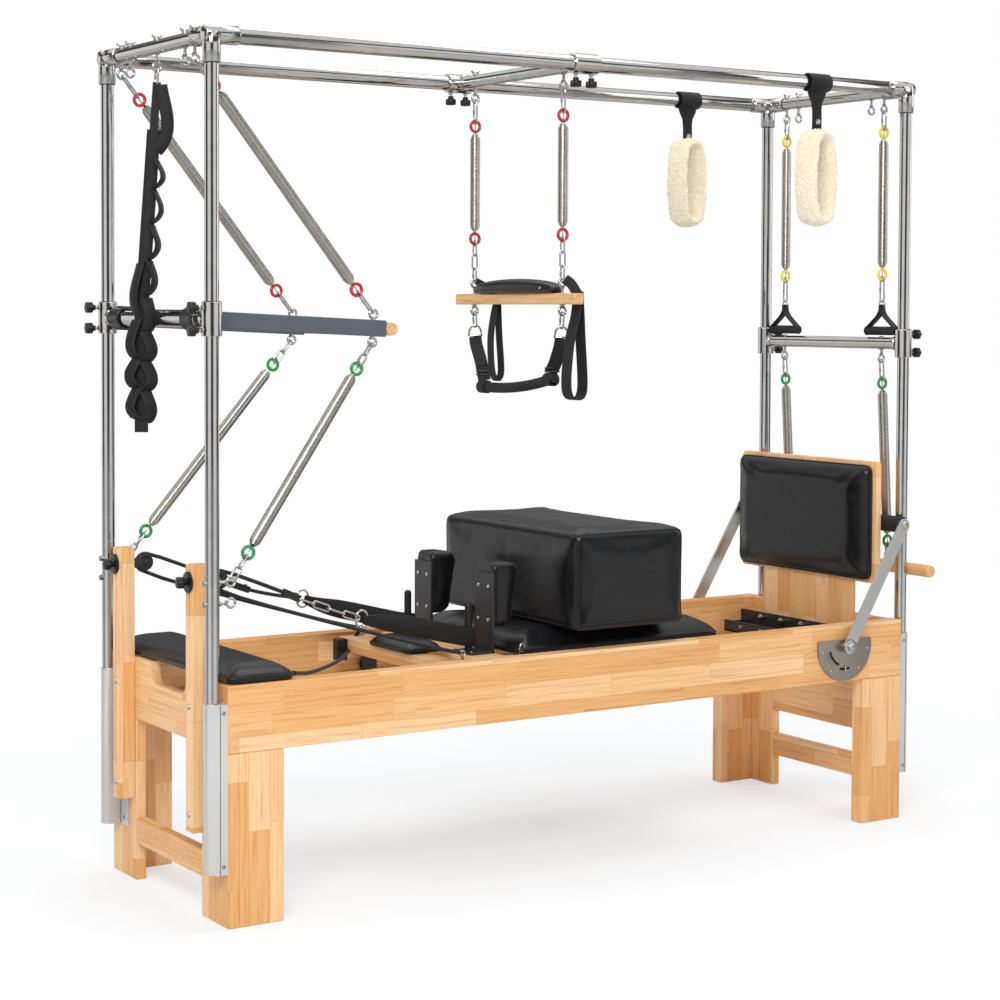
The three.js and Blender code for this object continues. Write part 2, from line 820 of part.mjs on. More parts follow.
carriagePieces.push(
  block([-carriage_head_end, -carriage_head_end + carriage_cross_width], crossY, boardZ),
  block([carriage_foot_end - carriage_cross_width, carriage_foot_end], crossY, boardZ),
  block([shoulder_board_x - halfShoulderBoard, shoulder_board_x + halfShoulderBoard], crossY, boardZ),
);
add("carriage_frame", join(...carriagePieces), wood());

const padLength = pad_head_end + carriage_foot_end;
const padThickness = pad_top - carriage_top - seat_gap;
add("carriage_pad", cushion(padLength, pad_half_width * 2, padThickness), leather()).position.set(
  (carriage_foot_end - pad_head_end) / 2,
  0,
  carriage_top + seat_gap,
);

add("headrest", cushion(headrest_length, headrest_width, headrest_thickness), leather()).position.set(
  headrest_x,
  0,
  carriage_top + seat_gap,
);

// Shoulder rests: steel angle with its strap peg, and a shaped pad
for (const [side, sign] of [["near", -1], ["far", 1]]) {
  const y = sign * shoulder_line;
  const half = shoulder_plate_width / 2;
  const base = carriage_top + seat_gap;
  const plateFront = shoulder_plate_x + shoulder_plate_thickness;
  const padMiddle = (shoulder_top + shoulder_pad_bottom) / 2;
  const padEnd = plateFront + shoulder_pad_depth;
  const padCurve = shoulder_pad_waist * 2;
  const padOutline = [
    p2(plateFront - sunk, shoulder_pad_bottom),
    p2(padEnd - padCurve, shoulder_pad_bottom),
    p2(padEnd - shoulder_pad_waist, shoulder_pad_bottom + shoulder_pad_waist),
    p2(padEnd - shoulder_pad_waist, padMiddle),
    p2(padEnd, shoulder_top - shoulder_pad_waist * 3),
    ...arc(padEnd - padCurve, shoulder_top - padCurve, padCurve, 0, Math.PI / 2, 3),
    p2(plateFront - sunk, shoulder_top),
  ];
  const peg = v(peg_x, y, base);
  const plateY = [y - half, y + half];
  const rest = join(
    block([peg_x - peg_radius * 2, plateFront], plateY, [base, base + shoulder_plate_thickness]),
    block([shoulder_plate_x, plateFront], plateY, [base, shoulder_plate_top]),
    acrossY(padOutline, [], y - half, y + half),
    rod(peg, peg.clone().setZ(peg_top), peg_radius, tube_sides),
  );
  add(`${side}_shoulder_rest`, rest, leather());
}

const boxSize = [sitting_box_length, sitting_box_width, sitting_box_height];
const sittingBox = cushion(...boxSize, sitting_box_corner, sitting_box_corner / 2);
add("sitting_box", sittingBox, leather()).position.set(sitting_box_x, 0, pad_top + seat_gap);

// Jump board: a T-shaped board whose neck stands behind the spring bar, and its pad
const wide = jump_board_width / 2;
const neck = jump_neck_width / 2;
const boardOutline = [
  p2(-neck, jump_neck_bottom),
  p2(neck, jump_neck_bottom),
  p2(neck, jump_board_bottom),
  p2(wide, jump_board_bottom),
  p2(wide, jump_board_top),
  p2(-wide, jump_board_top),
  p2(-wide, jump_board_bottom),
  p2(-neck, jump_board_bottom),
];
add("jump_board", alongX(boardOutline, [], jump_board_x, board_back), wood());
const jumpPad = cushion(
  jump_board_top - jump_board_bottom - 2 * jump_pad_margin,
  jump_board_width - 2 * jump_pad_margin,
  jump_pad_depth,
);
const jumpPadMesh = add("jump_board_pad", jumpPad, leather());
jumpPadMesh.rotation.y = -Math.PI / 2;
jumpPadMesh.position.set(jump_board_x - seat_gap, 0, (jump_board_top + jump_board_bottom) / 2);

// Spring bar: an upright plate with studs in front of the neck, and a beam below it
const plateBack = jump_board_x - seat_gap;
const plateFront = plateBack - spring_plate_thickness;
const barSpan = bed_inner - seat_gap;
const plateBottom = spring_plate_top - spring_plate_height;
const beamSpan = barSpan - track_width;
const beamZ = [plateBottom, plateBottom + spring_beam_height];
const springBar = [
  block([plateFront, plateBack], [-barSpan, barSpan], [plateBottom, spring_plate_top]),
  block([plateFront - spring_beam_depth, plateFront + sunk], [-beamSpan, beamSpan], beamZ),
];
for (let i = 0; i < stud_count; i += 1) {
  const y = (i - (stud_count - 1) / 2) * stud_spacing;
  const z = spring_plate_top - stud_drop;
  const stud = [v(plateFront + sunk, y, z), v(plateFront - stud_length, y, z)];
  springBar.push(rod(...stud, stud_radius, small_sides));
}
add("spring_bar", join(...springBar), black_steel());

// Foot bar: quadrant plates on the side boards, arms outside them and the padded bar between
function quadrantSlot(angleFrom, angleTo) {
  const bend = (quadrant_slot_inner + quadrant_slot_outer) / 2;
  const inner = arc(0, 0, bend - quadrant_slot_width / 2, angleFrom, angleTo, 6);
  const outer = arc(0, 0, bend + quadrant_slot_width / 2, angleTo, angleFrom, 6);
  return [...inner, ...outer].map((p) => p2(p.x + pivot_x, p.y + pivot_height));
}
const rimAngle = Math.asin(quadrant_rise / quadrant_radius);
const quadrantOutline = arc(pivot_x, pivot_height, quadrant_radius, -Math.PI - rimAngle, rimAngle, 20);
for (const [side, sign] of [["near", -1], ["far", 1]]) {
  const [y0, y1] = span(sign, bed_side + seat_gap, bed_side + seat_gap + quadrant_thickness);
  const slots = [
    quadrantSlot((-Math.PI * 8) / 9, (-Math.PI * 6) / 9),
    quadrantSlot((-Math.PI * 5) / 9, (-Math.PI * 3) / 9),
  ];
  add(`${side}_quadrant_plate`, acrossY(quadrantOutline, slots, y0, y1), warm_grey());
}
const armDirection = v(foot_bar_x - pivot_x, 0, foot_bar_height - pivot_height);
const armLength = armDirection.length();
const armAngle = Math.atan2(armDirection.z, armDirection.x);
const footBarEnd = v(foot_bar_x, foot_arm_line, foot_bar_height);
const footBar = [rod(footBarEnd.clone().setY(-foot_arm_line), footBarEnd, foot_bar_radius)];
for (const sign of [-1, 1]) {
  const armOut = foot_arm_line + foot_arm_thickness / 2;
  const [y0, y1] = span(sign, armOut - foot_arm_thickness, armOut);
  const half = foot_arm_width / 2;
  const outline = [
    ...arc(0, 0, half, Math.PI / 2, (Math.PI * 3) / 2, 4),
    ...arc(armLength, 0, half, -Math.PI / 2, Math.PI / 2, 4),
  ];
  const arm = acrossY(outline, [], y0, y1).rotateY(-armAngle).translate(pivot_x, 0, pivot_height);
  const boss = (from, to, radius, sides) =>
    rod(v(pivot_x, sign * from, pivot_height), v(pivot_x, sign * to, pivot_height), radius, sides);
  const bossStart = bed_side + 2 * seat_gap + quadrant_thickness;
  const washerFace = armOut + washer_thickness;
  footBar.push(arm);
  footBar.push(boss(bossStart, foot_arm_line, washer_radius / 2, knob_sides));
  footBar.push(boss(foot_arm_line, washerFace, washer_radius, tube_sides));
  footBar.push(boss(foot_arm_line, washerFace + pivot_bolt_head, pivot_bolt_radius, knob_sides));
}
add("foot_bar", join(...footBar), satin());

// Cross tubes: each is clamped to its two posts and turned fast with two knobs a side
function crossbar(xSign, height, eyes) {
  const x = xSign * post_x;
  const pieces = [rod(v(x, -post_y, height), v(x, post_y, height), crossbar_radius)];
  const bores = [];
  for (const ySign of [-1, 1]) {
    const y = ySign * post_y;
    const upright = (half) => [v(x, y, height - half), v(x, y, height + half)];
    pieces.push(rod(...upright(clamp_height / 2), clamp_radius));
    bores.push(rod(...upright(clamp_height), post_radius + seat_gap));
    for (const half of [-1, 1]) {
      const z = height + (half * clamp_knob_spacing) / 2;
      const studX = x + xSign * (clamp_radius - sunk);
      const studLength = clamp_stud_length + sunk;
      pieces.push(...knob(studX, y, z, xSign, studLength, clamp_knob_radius, clamp_knob_length));
    }
  }
  const body = cut(join(...pieces), ...bores);
  return eyes.length ? join(body, ...eyes) : body;
}
add("head_crossbar", crossbar(-1, head_crossbar_height, []), chrome());
const footEyeHeight = foot_crossbar_height - eye_hang + overrun;
const footEyes = [-eye_line, eye_line].flatMap((y) =>
  eyebolt(post_x, y, foot_crossbar_height, crossbar_radius, footEyeHeight, false),
);
add("foot_crossbar", crossbar(1, foot_crossbar_height, footEyes), chrome());

// Trapeze crossbar: lies between the long rails and clamps round them
const crossEnd = v(trapeze_x, post_y, rail_height);
const trapezeCross = [rod(crossEnd.clone().setY(-post_y), crossEnd, crossbar_radius)];
const railBores = [];
for (const sign of [-1, 1]) {
  const y = sign * post_y;
  const half = trapeze_clamp_length / 2;
  const level = (reach) => [v(trapeze_x - reach, y, rail_height), v(trapeze_x + reach, y, rail_height)];
  trapezeCross.push(rod(...level(half), trapeze_clamp_radius));
  railBores.push(rod(...level(half + overrun), rail_radius + seat_gap));
  for (const end of [-1, 1]) {
    const x = trapeze_x + (end * trapeze_knob_spacing) / 2;
    const start = rail_height - clamp_radius;
    const knobTop = start - clamp_stud_length;
    const knobEnd = v(x, y, knobTop - clamp_knob_length);
    trapezeCross.push(rod(v(x, y, start), v(x, y, knobTop - overrun), clamp_stud_radius, shank_sides));
    trapezeCross.push(rod(v(x, y, knobTop), knobEnd, trapeze_knob_radius, knob_sides));
  }
}
const trapezeEyes = [-eye_line, eye_line].flatMap((y) =>
  eyebolt(trapeze_x, y, rail_height, crossbar_radius, eye_height),
);
add("trapeze_crossbar", join(cut(join(...trapezeCross), ...railBores), ...trapezeEyes), chrome());

// Push-through bar: a sleeve that turns on the head crossbar, two arms and the wooden grip
const push = new THREE.Group();
push.position.set(-post_x, 0, head_crossbar_height);
push.rotation.y = push_slope;
part.add(push);
const sleeveHalf = eye_line + push_collar_width / 2;
const pushPieces = [rod(v(0, -sleeveHalf, 0), v(0, sleeveHalf, 0), push_sleeve_radius)];
for (const sign of [-1, 1]) {
  const y = sign * eye_line;
  const half = push_arm_width / 2;
  const halfCollar = push_collar_width / 2;
  pushPieces.push(rod(v(0, y - halfCollar, 0), v(0, y + halfCollar, 0), push_collar_radius));
  const armZ = [-push_arm_height / 2, push_arm_height / 2];
  pushPieces.push(block([0, push_arm_length], [y - half, y + half], armZ));
  for (const up of [-1, 1]) {
    const eyeZ = up * (push_arm_height / 2 + push_eye_rise);
    const shankEnd = v(push_eye_reach, y, eyeZ - up * eye_radius);
    pushPieces.push(rod(v(push_eye_reach, y, 0), shankEnd, shank_radius, shank_sides));
    pushPieces.push(ring(v(push_eye_reach, y, eyeZ), v(0, 1, 0), eye_radius, eye_wire));
  }
}
const boreEnd = v(0, sleeveHalf + overrun, 0);
const pushBore = rod(boreEnd.clone().negate(), boreEnd, turningBore(crossbar_radius));
add("push_bar_frame", cut(join(...pushPieces), pushBore), slate(), push);
const gripX = push_arm_length + push_grip_radius + seat_gap;
const gripHalf = eye_line + push_arm_width / 2;
const pushGrip = rod(v(gripX, -gripHalf, 0), v(gripX, gripHalf, 0), push_grip_radius);
add("push_bar_grip", pushGrip, dowel_wood(), push);

// A tension spring between two eyes. The body is one unbroken band wound about its axis; its section
// is stretched along the axis, so that its curls fill the length as the close turns do.
const curl_steps = 8;
const section_points = 5;
function springBody(length, from) {
  const steps = spring_curls * curl_steps;
  const pitch = (length - 2 * spring_wire) / (spring_curls + spring_ribbon_share);
  const halfBand = pitch * spring_ribbon_share;
  const swell = spring_radius - spring_wire - spring_tip_radius;
  const first = from + spring_wire + halfBand;
  const travel = length - 2 * spring_wire - 2 * halfBand;
  const sections = [];
  for (let i = 0; i <= steps; i += 1) {
    const angle = (i / curl_steps) * 2 * Math.PI;
    const middle = first + (travel * i) / steps;
    const nearEnd = Math.min(middle - from, from + length - middle);
    const band = Math.min(halfBand, nearEnd - spring_wire);
    const points = [];
    for (let k = 0; k < section_points; k += 1) {
      const turn = (k / section_points) * 2 * Math.PI;
      const z = middle + band * Math.cos(turn);
      const toTip = Math.min(z - from, from + length - z);
      const bulge = Math.min(1, toTip / spring_taper);
      const radius = spring_tip_radius + swell * bulge + spring_wire * Math.sin(turn);
      points.push(v(radius * Math.cos(angle), radius * Math.sin(angle), z));
    }
    sections.push(points);
  }
  return skin(sections);
}

// How far a link's end lies from the centre of the eye that it hangs in
const link_offset = eye_radius - eye_wire - link_wire;

// Link from an eye to the coloured ring, then the ring, then a stem to the spring's tip
function springEnd(bodyStart, hooked, clearance) {
  const pieces = [];
  const ringMiddle = bodyStart - stem_length - ring_radius;
  const stemStart = ringMiddle + ring_radius;
  const stemEnd = bodyStart + spring_taper;
  const tip = new THREE.CylinderGeometry(spring_radius - spring_wire, spring_stem, stemEnd - stemStart, 4);
  pieces.push(turned(tip, v(0, 1, 0), v(0, 0, 1), v(0, 0, (stemEnd + stemStart) / 2)));
  pieces.push(ring(v(0, 0, ringMiddle), v(0, 1, 0), ring_radius, ring_wire));
  if (!hooked) return pieces;
  const linkTop = link_offset - clearance;
  const linkEnd = ringMiddle - ring_radius + ring_wire / 4;
  const stretch = linkEnd - linkTop - 2 * link_radius;
  pieces.push(longRing(v(0, 0, (linkTop + linkEnd) / 2), link_radius, link_wire, stretch));
  return pieces;
}

// The body takes its share of the way; headShare of what is left lies above it
function spring(name, a, b, bodyShare, headShare, hookedLow = true, clearance = 0) {
  const along = b.clone().sub(a);
  const total = along.length();
  const length = total * bodyShare;
  const free = total - length;
  const start = free * headShare;
  const flip = (pieces) => pieces.map((piece) => piece.rotateY(Math.PI).translate(0, 0, total));
  const pieces = [
    springBody(length, start),
    ...springEnd(start, true, clearance),
    ...flip(springEnd(free - start, hookedLow, clearance)),
  ];
  const mesh = add(name, join(...pieces), spring_steel());
  mesh.position.copy(a);
  mesh.quaternion.setFromUnitVectors(v(0, 0, 1), along.normalize());
  return mesh;
}

// Eyes of the push-through bar, where its slope puts them
function pushEye(ySign, up) {
  const rise = up * (push_arm_height / 2 + push_eye_rise);
  const local = v(push_eye_reach, ySign * eye_line, rise);
  return local.applyEuler(push.rotation).add(push.position);
}
const even_share = 0.5;
const trapeze_top_share = 0.4;
const roll_top_share = 0.6;
for (const [side, sign] of [["near", -1], ["far", 1]]) {
  const y = sign * eye_line;
  const headEye = v(-post_x, y, eye_height);
  const postEye = v(-post_x + post_eye_reach, sign * post_y, post_eye_height);
  const crossEye = v(trapeze_x, y, eye_height);
  const barEye = v(trapeze_x, y, trapeze_bar_height + trapeze_eye_rise);
  const footEye = v(post_x, y, footEyeHeight);
  const rollEye = v(roll_bar_x, y, roll_bar_height + roll_eye_rise);
  const lowPush = [pushEye(sign, -1), postEye, low_green_spring_share];
  spring(`${side}_upper_push_spring`, headEye, pushEye(sign, 1), red_spring_share, even_share);
  spring(`${side}_lower_push_spring`, ...lowPush, even_share, true, slant_clearance);
  spring(`${side}_trapeze_spring`, crossEye, barEye, trapeze_spring_share, trapeze_top_share);
  spring(`${side}_roll_down_spring`, footEye, rollEye, roll_spring_share, roll_top_share);
}

// Trapeze bar with its eyes, its pad, the sling below and the near loop
const barEyes = [-eye_line, eye_line].flatMap((y) => {
  const top = trapeze_bar_height + trapeze_eye_rise;
  const low = trapeze_bar_height - trapeze_eye_rise / 2 - eye_radius;
  return [
    rod(v(trapeze_x, y, low + eye_radius), v(trapeze_x, y, top - eye_radius), shank_radius, shank_sides),
    ring(v(trapeze_x, y, top), v(0, 1, 0), eye_radius, eye_wire),
    ring(v(trapeze_x, y, low), v(0, 1, 0), eye_radius, eye_wire),
  ];
});
const barEnd = v(trapeze_x, trapeze_bar_half, trapeze_bar_height);
const trapezeRod = rod(barEnd.clone().setY(-trapeze_bar_half), barEnd, trapeze_bar_radius, bar_sides);
add("trapeze_bar", join(trapezeRod, ...barEyes), dowel_wood());
const trapezePadSize = [trapeze_pad_width, 2 * trapeze_pad_half, trapeze_pad_height];
const trapezePad = cushion(...trapezePadSize, cushion_corner / 2, cushion_edge / 2);
const trapezePadZ = trapeze_bar_height + trapeze_bar_radius + seat_gap;
add("trapeze_pad", trapezePad, leather()).position.set(trapeze_x, 0, trapezePadZ);

// A flat band along a line in YZ, as thick as webbing and square to X
function webStrip(a, b, width) {
  const geometry = new THREE.BoxGeometry(webbing_thickness, width, a.distanceTo(b));
  return turned(geometry, v(0, 0, 1), b.clone().sub(a), a.clone().add(b).multiplyScalar(1 / 2));
}
const slingRingHeight = trapeze_bar_height - sling_ring_drop;
const lowEye = trapeze_bar_height - trapeze_eye_rise / 2 - eye_radius;
const gripEndHeight = trapeze_bar_height - grip_drop;
const slingPieces = [];
const gripPath = [];
const grip_points = 8;
for (let i = 0; i <= grip_points; i += 1) {
  const share = (2 * i) / grip_points - 1;
  const sag = grip_sag * (1 - share * share);
  gripPath.push(v(trapeze_x, share * sling_low_line, gripEndHeight - sag));
}
slingPieces.push(cord(gripPath, grip_radius, knob_sides));
for (const sign of [-1, 1]) {
  const top = v(trapeze_x, sign * sling_top_line, slingRingHeight);
  const low = v(trapeze_x, sign * sling_low_line, trapeze_bar_height - sling_strap_drop);
  slingPieces.push(webStrip(top, low, webbing_width));
  slingPieces.push(ring(top, v(1, 0, 0), sling_ring_radius, eye_wire));
  const hookTop = lowEye - link_offset;
  const hookLow = slingRingHeight + sling_ring_radius - eye_wire;
  const stretch = hookTop - hookLow - 2 * link_radius;
  const hookMiddle = v(trapeze_x, sign * eye_line, (hookTop + hookLow) / 2);
  slingPieces.push(longRing(hookMiddle, link_radius, link_wire, stretch));
}
slingPieces.push(
  block(
    [trapeze_x - webbing_thickness * 2, trapeze_x + webbing_thickness * 2],
    [far_strap_line - webbing_width / 2, far_strap_line + webbing_width / 2],
    [gripEndHeight - grip_sag, trapeze_bar_height - trapeze_bar_radius - running_gap],
  ),
);
add("trapeze_sling", join(...slingPieces), webbing());

const loopInner = trapeze_bar_radius + 2 * seat_gap;
const loopTop = loopInner + webbing_thickness;
const loopMiddle = trapeze_bar_height - near_loop_drop + near_loop_half;
const loopOutline = (radius, thin) => [
  ...arc(trapeze_x, trapeze_bar_height, radius, 0, Math.PI, 8),
  ...arc(trapeze_x, loopMiddle, near_loop_half - thin, Math.PI, 2 * Math.PI, 8),
];
const loopY = [-near_loop_line - webbing_width / 2, -near_loop_line + webbing_width / 2];
const loopHole = loopOutline(loopInner, webbing_thickness);
add("trapeze_near_loop", acrossY(loopOutline(loopTop, 0), [loopHole], ...loopY), webbing());

// Hand straps: a link through the lower yellow ring, a triangular strap and a round grip
const gripHeight = foot_crossbar_height + crossbar_radius + hand_grip_radius + hand_grip_clearance;
const strapTop = gripHeight + hand_strap_rise;
const yellowRing = strapTop + hand_ring_rise;
for (const [side, sign] of [["near", -1], ["far", 1]]) {
  const y = sign * eye_line;
  const footEye = v(post_x, y, eye_height);
  const lowEnd = v(post_x, y, yellowRing - ring_radius - ring_wire);
  const free = (eye_height - lowEnd.z) * (1 - yellow_spring_share);
  const lowShare = (2 * ring_radius + ring_wire + stem_length) / free;
  spring(`${side}_arm_spring`, footEye, lowEnd, yellow_spring_share, 1 - lowShare, false);
  const band = hand_strap_band;
  const outer = [
    p2(y - hand_grip_half, gripHeight),
    p2(y + hand_grip_half, gripHeight),
    p2(y + band, strapTop),
    p2(y - band, strapTop),
  ];
  const inner = [
    p2(y - hand_grip_half + 2 * band, gripHeight + band / 4),
    p2(y + hand_grip_half - 2 * band, gripHeight + band / 4),
    p2(y, strapTop - 2 * band),
  ];
  const linkTop = yellowRing - ring_radius + ring_wire + link_wire;
  const linkLow = strapTop - link_wire;
  const stretch = linkTop - linkLow - 2 * link_radius;
  const grip = [v(post_x, y - hand_grip_half, gripHeight), v(post_x, y + hand_grip_half, gripHeight)];
  const strap = join(
    alongX(outer, [inner], post_x - hand_strap_width / 2, post_x + hand_strap_width / 2),
    rod(...grip, hand_grip_radius, tube_sides),
    longRing(v(post_x, y, (linkTop + linkLow) / 2), link_radius, link_wire, stretch),
  );
  add(`${side}_hand_strap`, strap, webbing());
}

// Roll-down bar: hangs outside the foot posts and rests against them
const rollEnd = v(roll_bar_x, roll_bar_half, roll_bar_height);
const rollRod = rod(rollEnd.clone().setY(-roll_bar_half), rollEnd, roll_bar_radius, bar_sides);
const rollEyeHeight = roll_bar_height + roll_eye_rise;
const rollEyes = [-eye_line, eye_line].flatMap((y) => [
  rod(rollEnd.clone().setY(y), v(roll_bar_x, y, rollEyeHeight - eye_radius), shank_radius, shank_sides),
  ring(v(roll_bar_x, y, rollEyeHeight), v(0, 1, 0), eye_radius, eye_wire),
]);
add("roll_down_bar", join(rollRod, ...rollEyes), dowel_wood());

// Fleece loops: a cuff round the long rail, a strap and a stuffed loop
for (const [side, sign, x] of [["near", -1, near_fleece_x], ["far", 1, far_fleece_x]]) {
  const y = sign * post_y;
  const half = fleece_cuff_length / 2;
  const loopMid = fleece_top - fleece_roll - fleece_radius - fleece_stretch;
  const loopShape = [fleece_radius, fleece_roll, 2 * fleece_stretch, fleece_segments, fleece_sides];
  const loop = longRing(v(0, 0, 0), ...loopShape).rotateZ(Math.PI / 2);
  const strap = block(
    [x - fleece_strap_width / 2, x + fleece_strap_width / 2],
    [y - fleece_strap_thickness / 2, y + fleece_strap_thickness / 2],
    [fleece_top - fleece_roll, rail_height],
  );
  const alongRail = (reach) => [v(x - reach, y, rail_height), v(x + reach, y, rail_height)];
  const cuff = rod(...alongRail(half), fleece_cuff_radius, disc_sides);
  const bore = rod(...alongRail(half + overrun), turningBore(rail_radius));
  const body = cut(join(cuff, strap), bore);
  add(`${side}_fleece_loop`, join(body, loop.translate(x, y, loopMid)), fleece());
}

// Strap of many loops: hangs from the middle head eye and leans on the push bar's sleeve
function loopStrap() {
  const steps_per_loop = 3;
  const steps = loop_strap_count * steps_per_loop;
  const left = [];
  const right = [];
  for (let i = 0; i <= steps; i += 1) {
    const share = i / steps;
    const z = loop_strap_top + (loop_strap_bottom - loop_strap_top) * share;
    const lean = Math.min(1, (loop_strap_top - z) / (loop_strap_top - head_crossbar_height));
    const half = loop_strap_neck + loop_strap_wave * Math.abs(Math.sin(Math.PI * loop_strap_count * share));
    const middle = -post_x - loop_strap_lean * lean;
    left.push(p2(middle - half, z));
    right.push(p2(middle + half, z));
  }
  return [...left, ...right.reverse()];
}
const halfStrap = loop_strap_width / 2;
const hookTop = eye_height - link_offset;
const hookLow = loop_strap_top - loop_link_radius;
const hookStretch = hookTop - hookLow - 2 * link_radius;
const hookPlace = v(-post_x, 0, (hookTop + hookLow) / 2);
const strapHook = longRing(hookPlace, link_radius, link_wire, hookStretch);
add("loop_strap", join(acrossY(loopStrap(), [], -halfStrap, halfStrap), strapHook), webbing());

// A band of webbing that stands on edge along a path
function band(points, height, thickness) {
  const sections = points.map((point, i) => {
    const before = points[Math.max(i - 1, 0)];
    const after = points[Math.min(i + 1, points.length - 1)];
    const along = after.clone().sub(before).setZ(0).normalize();
    const across = v(-along.y, along.x, 0).multiplyScalar(thickness / 2);
    const up = v(0, 0, height / 2);
    return [
      point.clone().sub(across).sub(up),
      point.clone().add(across).sub(up),
      point.clone().add(across).add(up),
      point.clone().sub(across).add(up),
    ];
  });
  return skin(sections);
}

// Ropes: from the carriage cleat round the pulley to a buckle, then a loop round the peg.
// Each row is a place along the rope in millimetres, for the far side; the near side is mirrored.
// The rows suit the drawn height of the pulley, and stretch upwards from the cleat for another one.
const rope_start = [
  [-391.8, 268, 603],
  [-460, 265, 609],
  [-560, 260, 626],
  [-680, 253, 658],
  [-800, 245, 698],
  [-920, 235, 746],
  [-1010, 227, 786],
];
const rope_return = [
  [-1020, 222, 843],
  [-950, 220, 816],
  [-880, 217, 790],
  [-815, 213, 768],
];
const hand_loop_route = [
  [-790, 216, 750],
  [-650, 210, 712],
  [-500, 196, 672],
  [-380, 182, 648],
  [-318, 174, 636],
  [-292, 172, 634],
  [-279, 165, 634],
  [-279, 151, 634],
  [-292, 144, 634],
  [-318, 146, 636],
  [-380, 158, 648],
  [-500, 180, 672],
  [-650, 200, 712],
  [-790, 210, 750],
];
const tail_route = [
  [-391.8, 268, 595],
  [-440, 266, 592],
  [-474, 258, 588],
  [-496, 232, 571],
  [-560, 150, 556],
  [-680, 0, 556],
  [-790, -140, 566],
  [-862, -232, 582],
];
const wrapRadius = sheave_groove_radius + rope_radius + running_gap;
const meetAngle = THREE.MathUtils.degToRad(rope_meets_pulley_deg);
const leaveAngle = THREE.MathUtils.degToRad(rope_leaves_pulley_deg);
const wrap_steps = 7;
function rowsRise(angle) {
  const offset = wrapRadius * Math.sin(angle) - rope_exit_height;
  return (pulley_height + offset) / (drawn_pulley_height + offset);
}
for (const [side, sign] of [["near", -1], ["far", 1]]) {
  const places = (rows, rise) =>
    rows.map(([x, y, z]) => v(x, sign * y, rope_exit_height * (1 - rise) + z * rise));
  const turn = arc(pulleyX, pulley_height, wrapRadius, meetAngle, leaveAngle, wrap_steps);
  const wrap = turn.map((p) => v(p.x, sign * riser_line, p.y));
  const out = places(rope_start, rowsRise(meetAngle));
  const back = places(rope_return, rowsRise(leaveAngle));
  const end = back.at(-1);
  const loop = places(hand_loop_route, rowsRise(leaveAngle));
  const pieces = [
    cord([...out, ...wrap, ...back], rope_radius, cord_sides),
    block(
      [end.x - overrun, end.x + buckle_length - overrun],
      [end.y - buckle_width / 2, end.y + buckle_width / 2],
      [end.z - buckle_height, end.z + buckle_height / 2],
    ),
    band(loop, band_height, band_thickness),
  ];
  if (sign > 0) pieces.push(cord(places(tail_route, 1), rope_radius, cord_sides));
  add(`${side}_rope`, join(...pieces), webbing());
}

export default part;
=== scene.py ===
"""Pilates trapeze table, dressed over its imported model.

Metres, +Z up. The head end is at -X, the near side is at -Y. A form is a pair (points, faces) until
piece() makes an object of it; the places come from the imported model's named sizes.
"""

import math

import bmesh
import bpy
import numpy as np
from mathutils import Matrix, Vector, noise
from mathutils.bvhtree import BVHTree


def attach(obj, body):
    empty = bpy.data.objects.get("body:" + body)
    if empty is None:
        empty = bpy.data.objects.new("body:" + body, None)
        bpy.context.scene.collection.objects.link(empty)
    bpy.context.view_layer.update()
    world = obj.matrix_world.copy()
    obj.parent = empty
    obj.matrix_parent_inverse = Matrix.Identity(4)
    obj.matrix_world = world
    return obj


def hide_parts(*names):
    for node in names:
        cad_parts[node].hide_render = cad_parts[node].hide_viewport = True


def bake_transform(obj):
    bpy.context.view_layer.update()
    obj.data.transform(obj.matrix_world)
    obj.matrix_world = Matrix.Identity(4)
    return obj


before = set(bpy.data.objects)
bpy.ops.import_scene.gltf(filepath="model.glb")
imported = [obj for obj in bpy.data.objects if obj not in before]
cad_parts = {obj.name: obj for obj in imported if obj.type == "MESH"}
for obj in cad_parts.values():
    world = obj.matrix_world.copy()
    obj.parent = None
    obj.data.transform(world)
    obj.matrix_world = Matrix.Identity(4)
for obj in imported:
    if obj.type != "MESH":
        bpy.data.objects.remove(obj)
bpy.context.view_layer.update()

# Bed
BED_END = 1.098
BED_SIDE = 0.347
BED_TOP = 0.590
SIDE_BOARD_HEIGHT = 0.165
SIDE_BOARD_THICKNESS = 0.045
BED_INNER = BED_SIDE - SIDE_BOARD_THICKNESS
BOARD_GAP = 0.0003
LEG_TOP = BED_TOP - SIDE_BOARD_HEIGHT - BOARD_GAP
END_BOARD_TOP = 0.588
END_BOARD_THICKNESS = 0.028
LEG_WIDTH = 0.150
STRETCHER = (0.097, 0.164)
APRON_BOTTOM = 0.240
NOTCH_HALF = 0.105
NOTCH_DEPTH = 0.054
NOTCH_CORNER = 0.034
WOOD_EDGE = 0.0025

# Canopy of tubes
POST_X = 1.125
POST_Y = 0.313
POST_RADIUS = 0.0175
RAIL_HEIGHT = 2.150
RAIL_RADIUS = 0.0205
SLEEVE_RADIUS = 0.0225
SLEEVE_DROP = 0.067
SLEEVE_REACH = 0.084
# How far a tube goes into the sleeve at its end
TUBE_SEAT = 0.0337
EYE_LINE = 0.220
SPARE_EYE_LINE = 0.165
EYE_HEIGHT = 2.100
EYE_RADIUS = 0.011
EYE_WIRE = 0.0035
BRACKET_BOTTOM = 0.133
BRACKET_LENGTH = 0.414
POST_EYE_HEIGHTS = (0.838, 0.787)
POST_EYE_REACH = 0.050

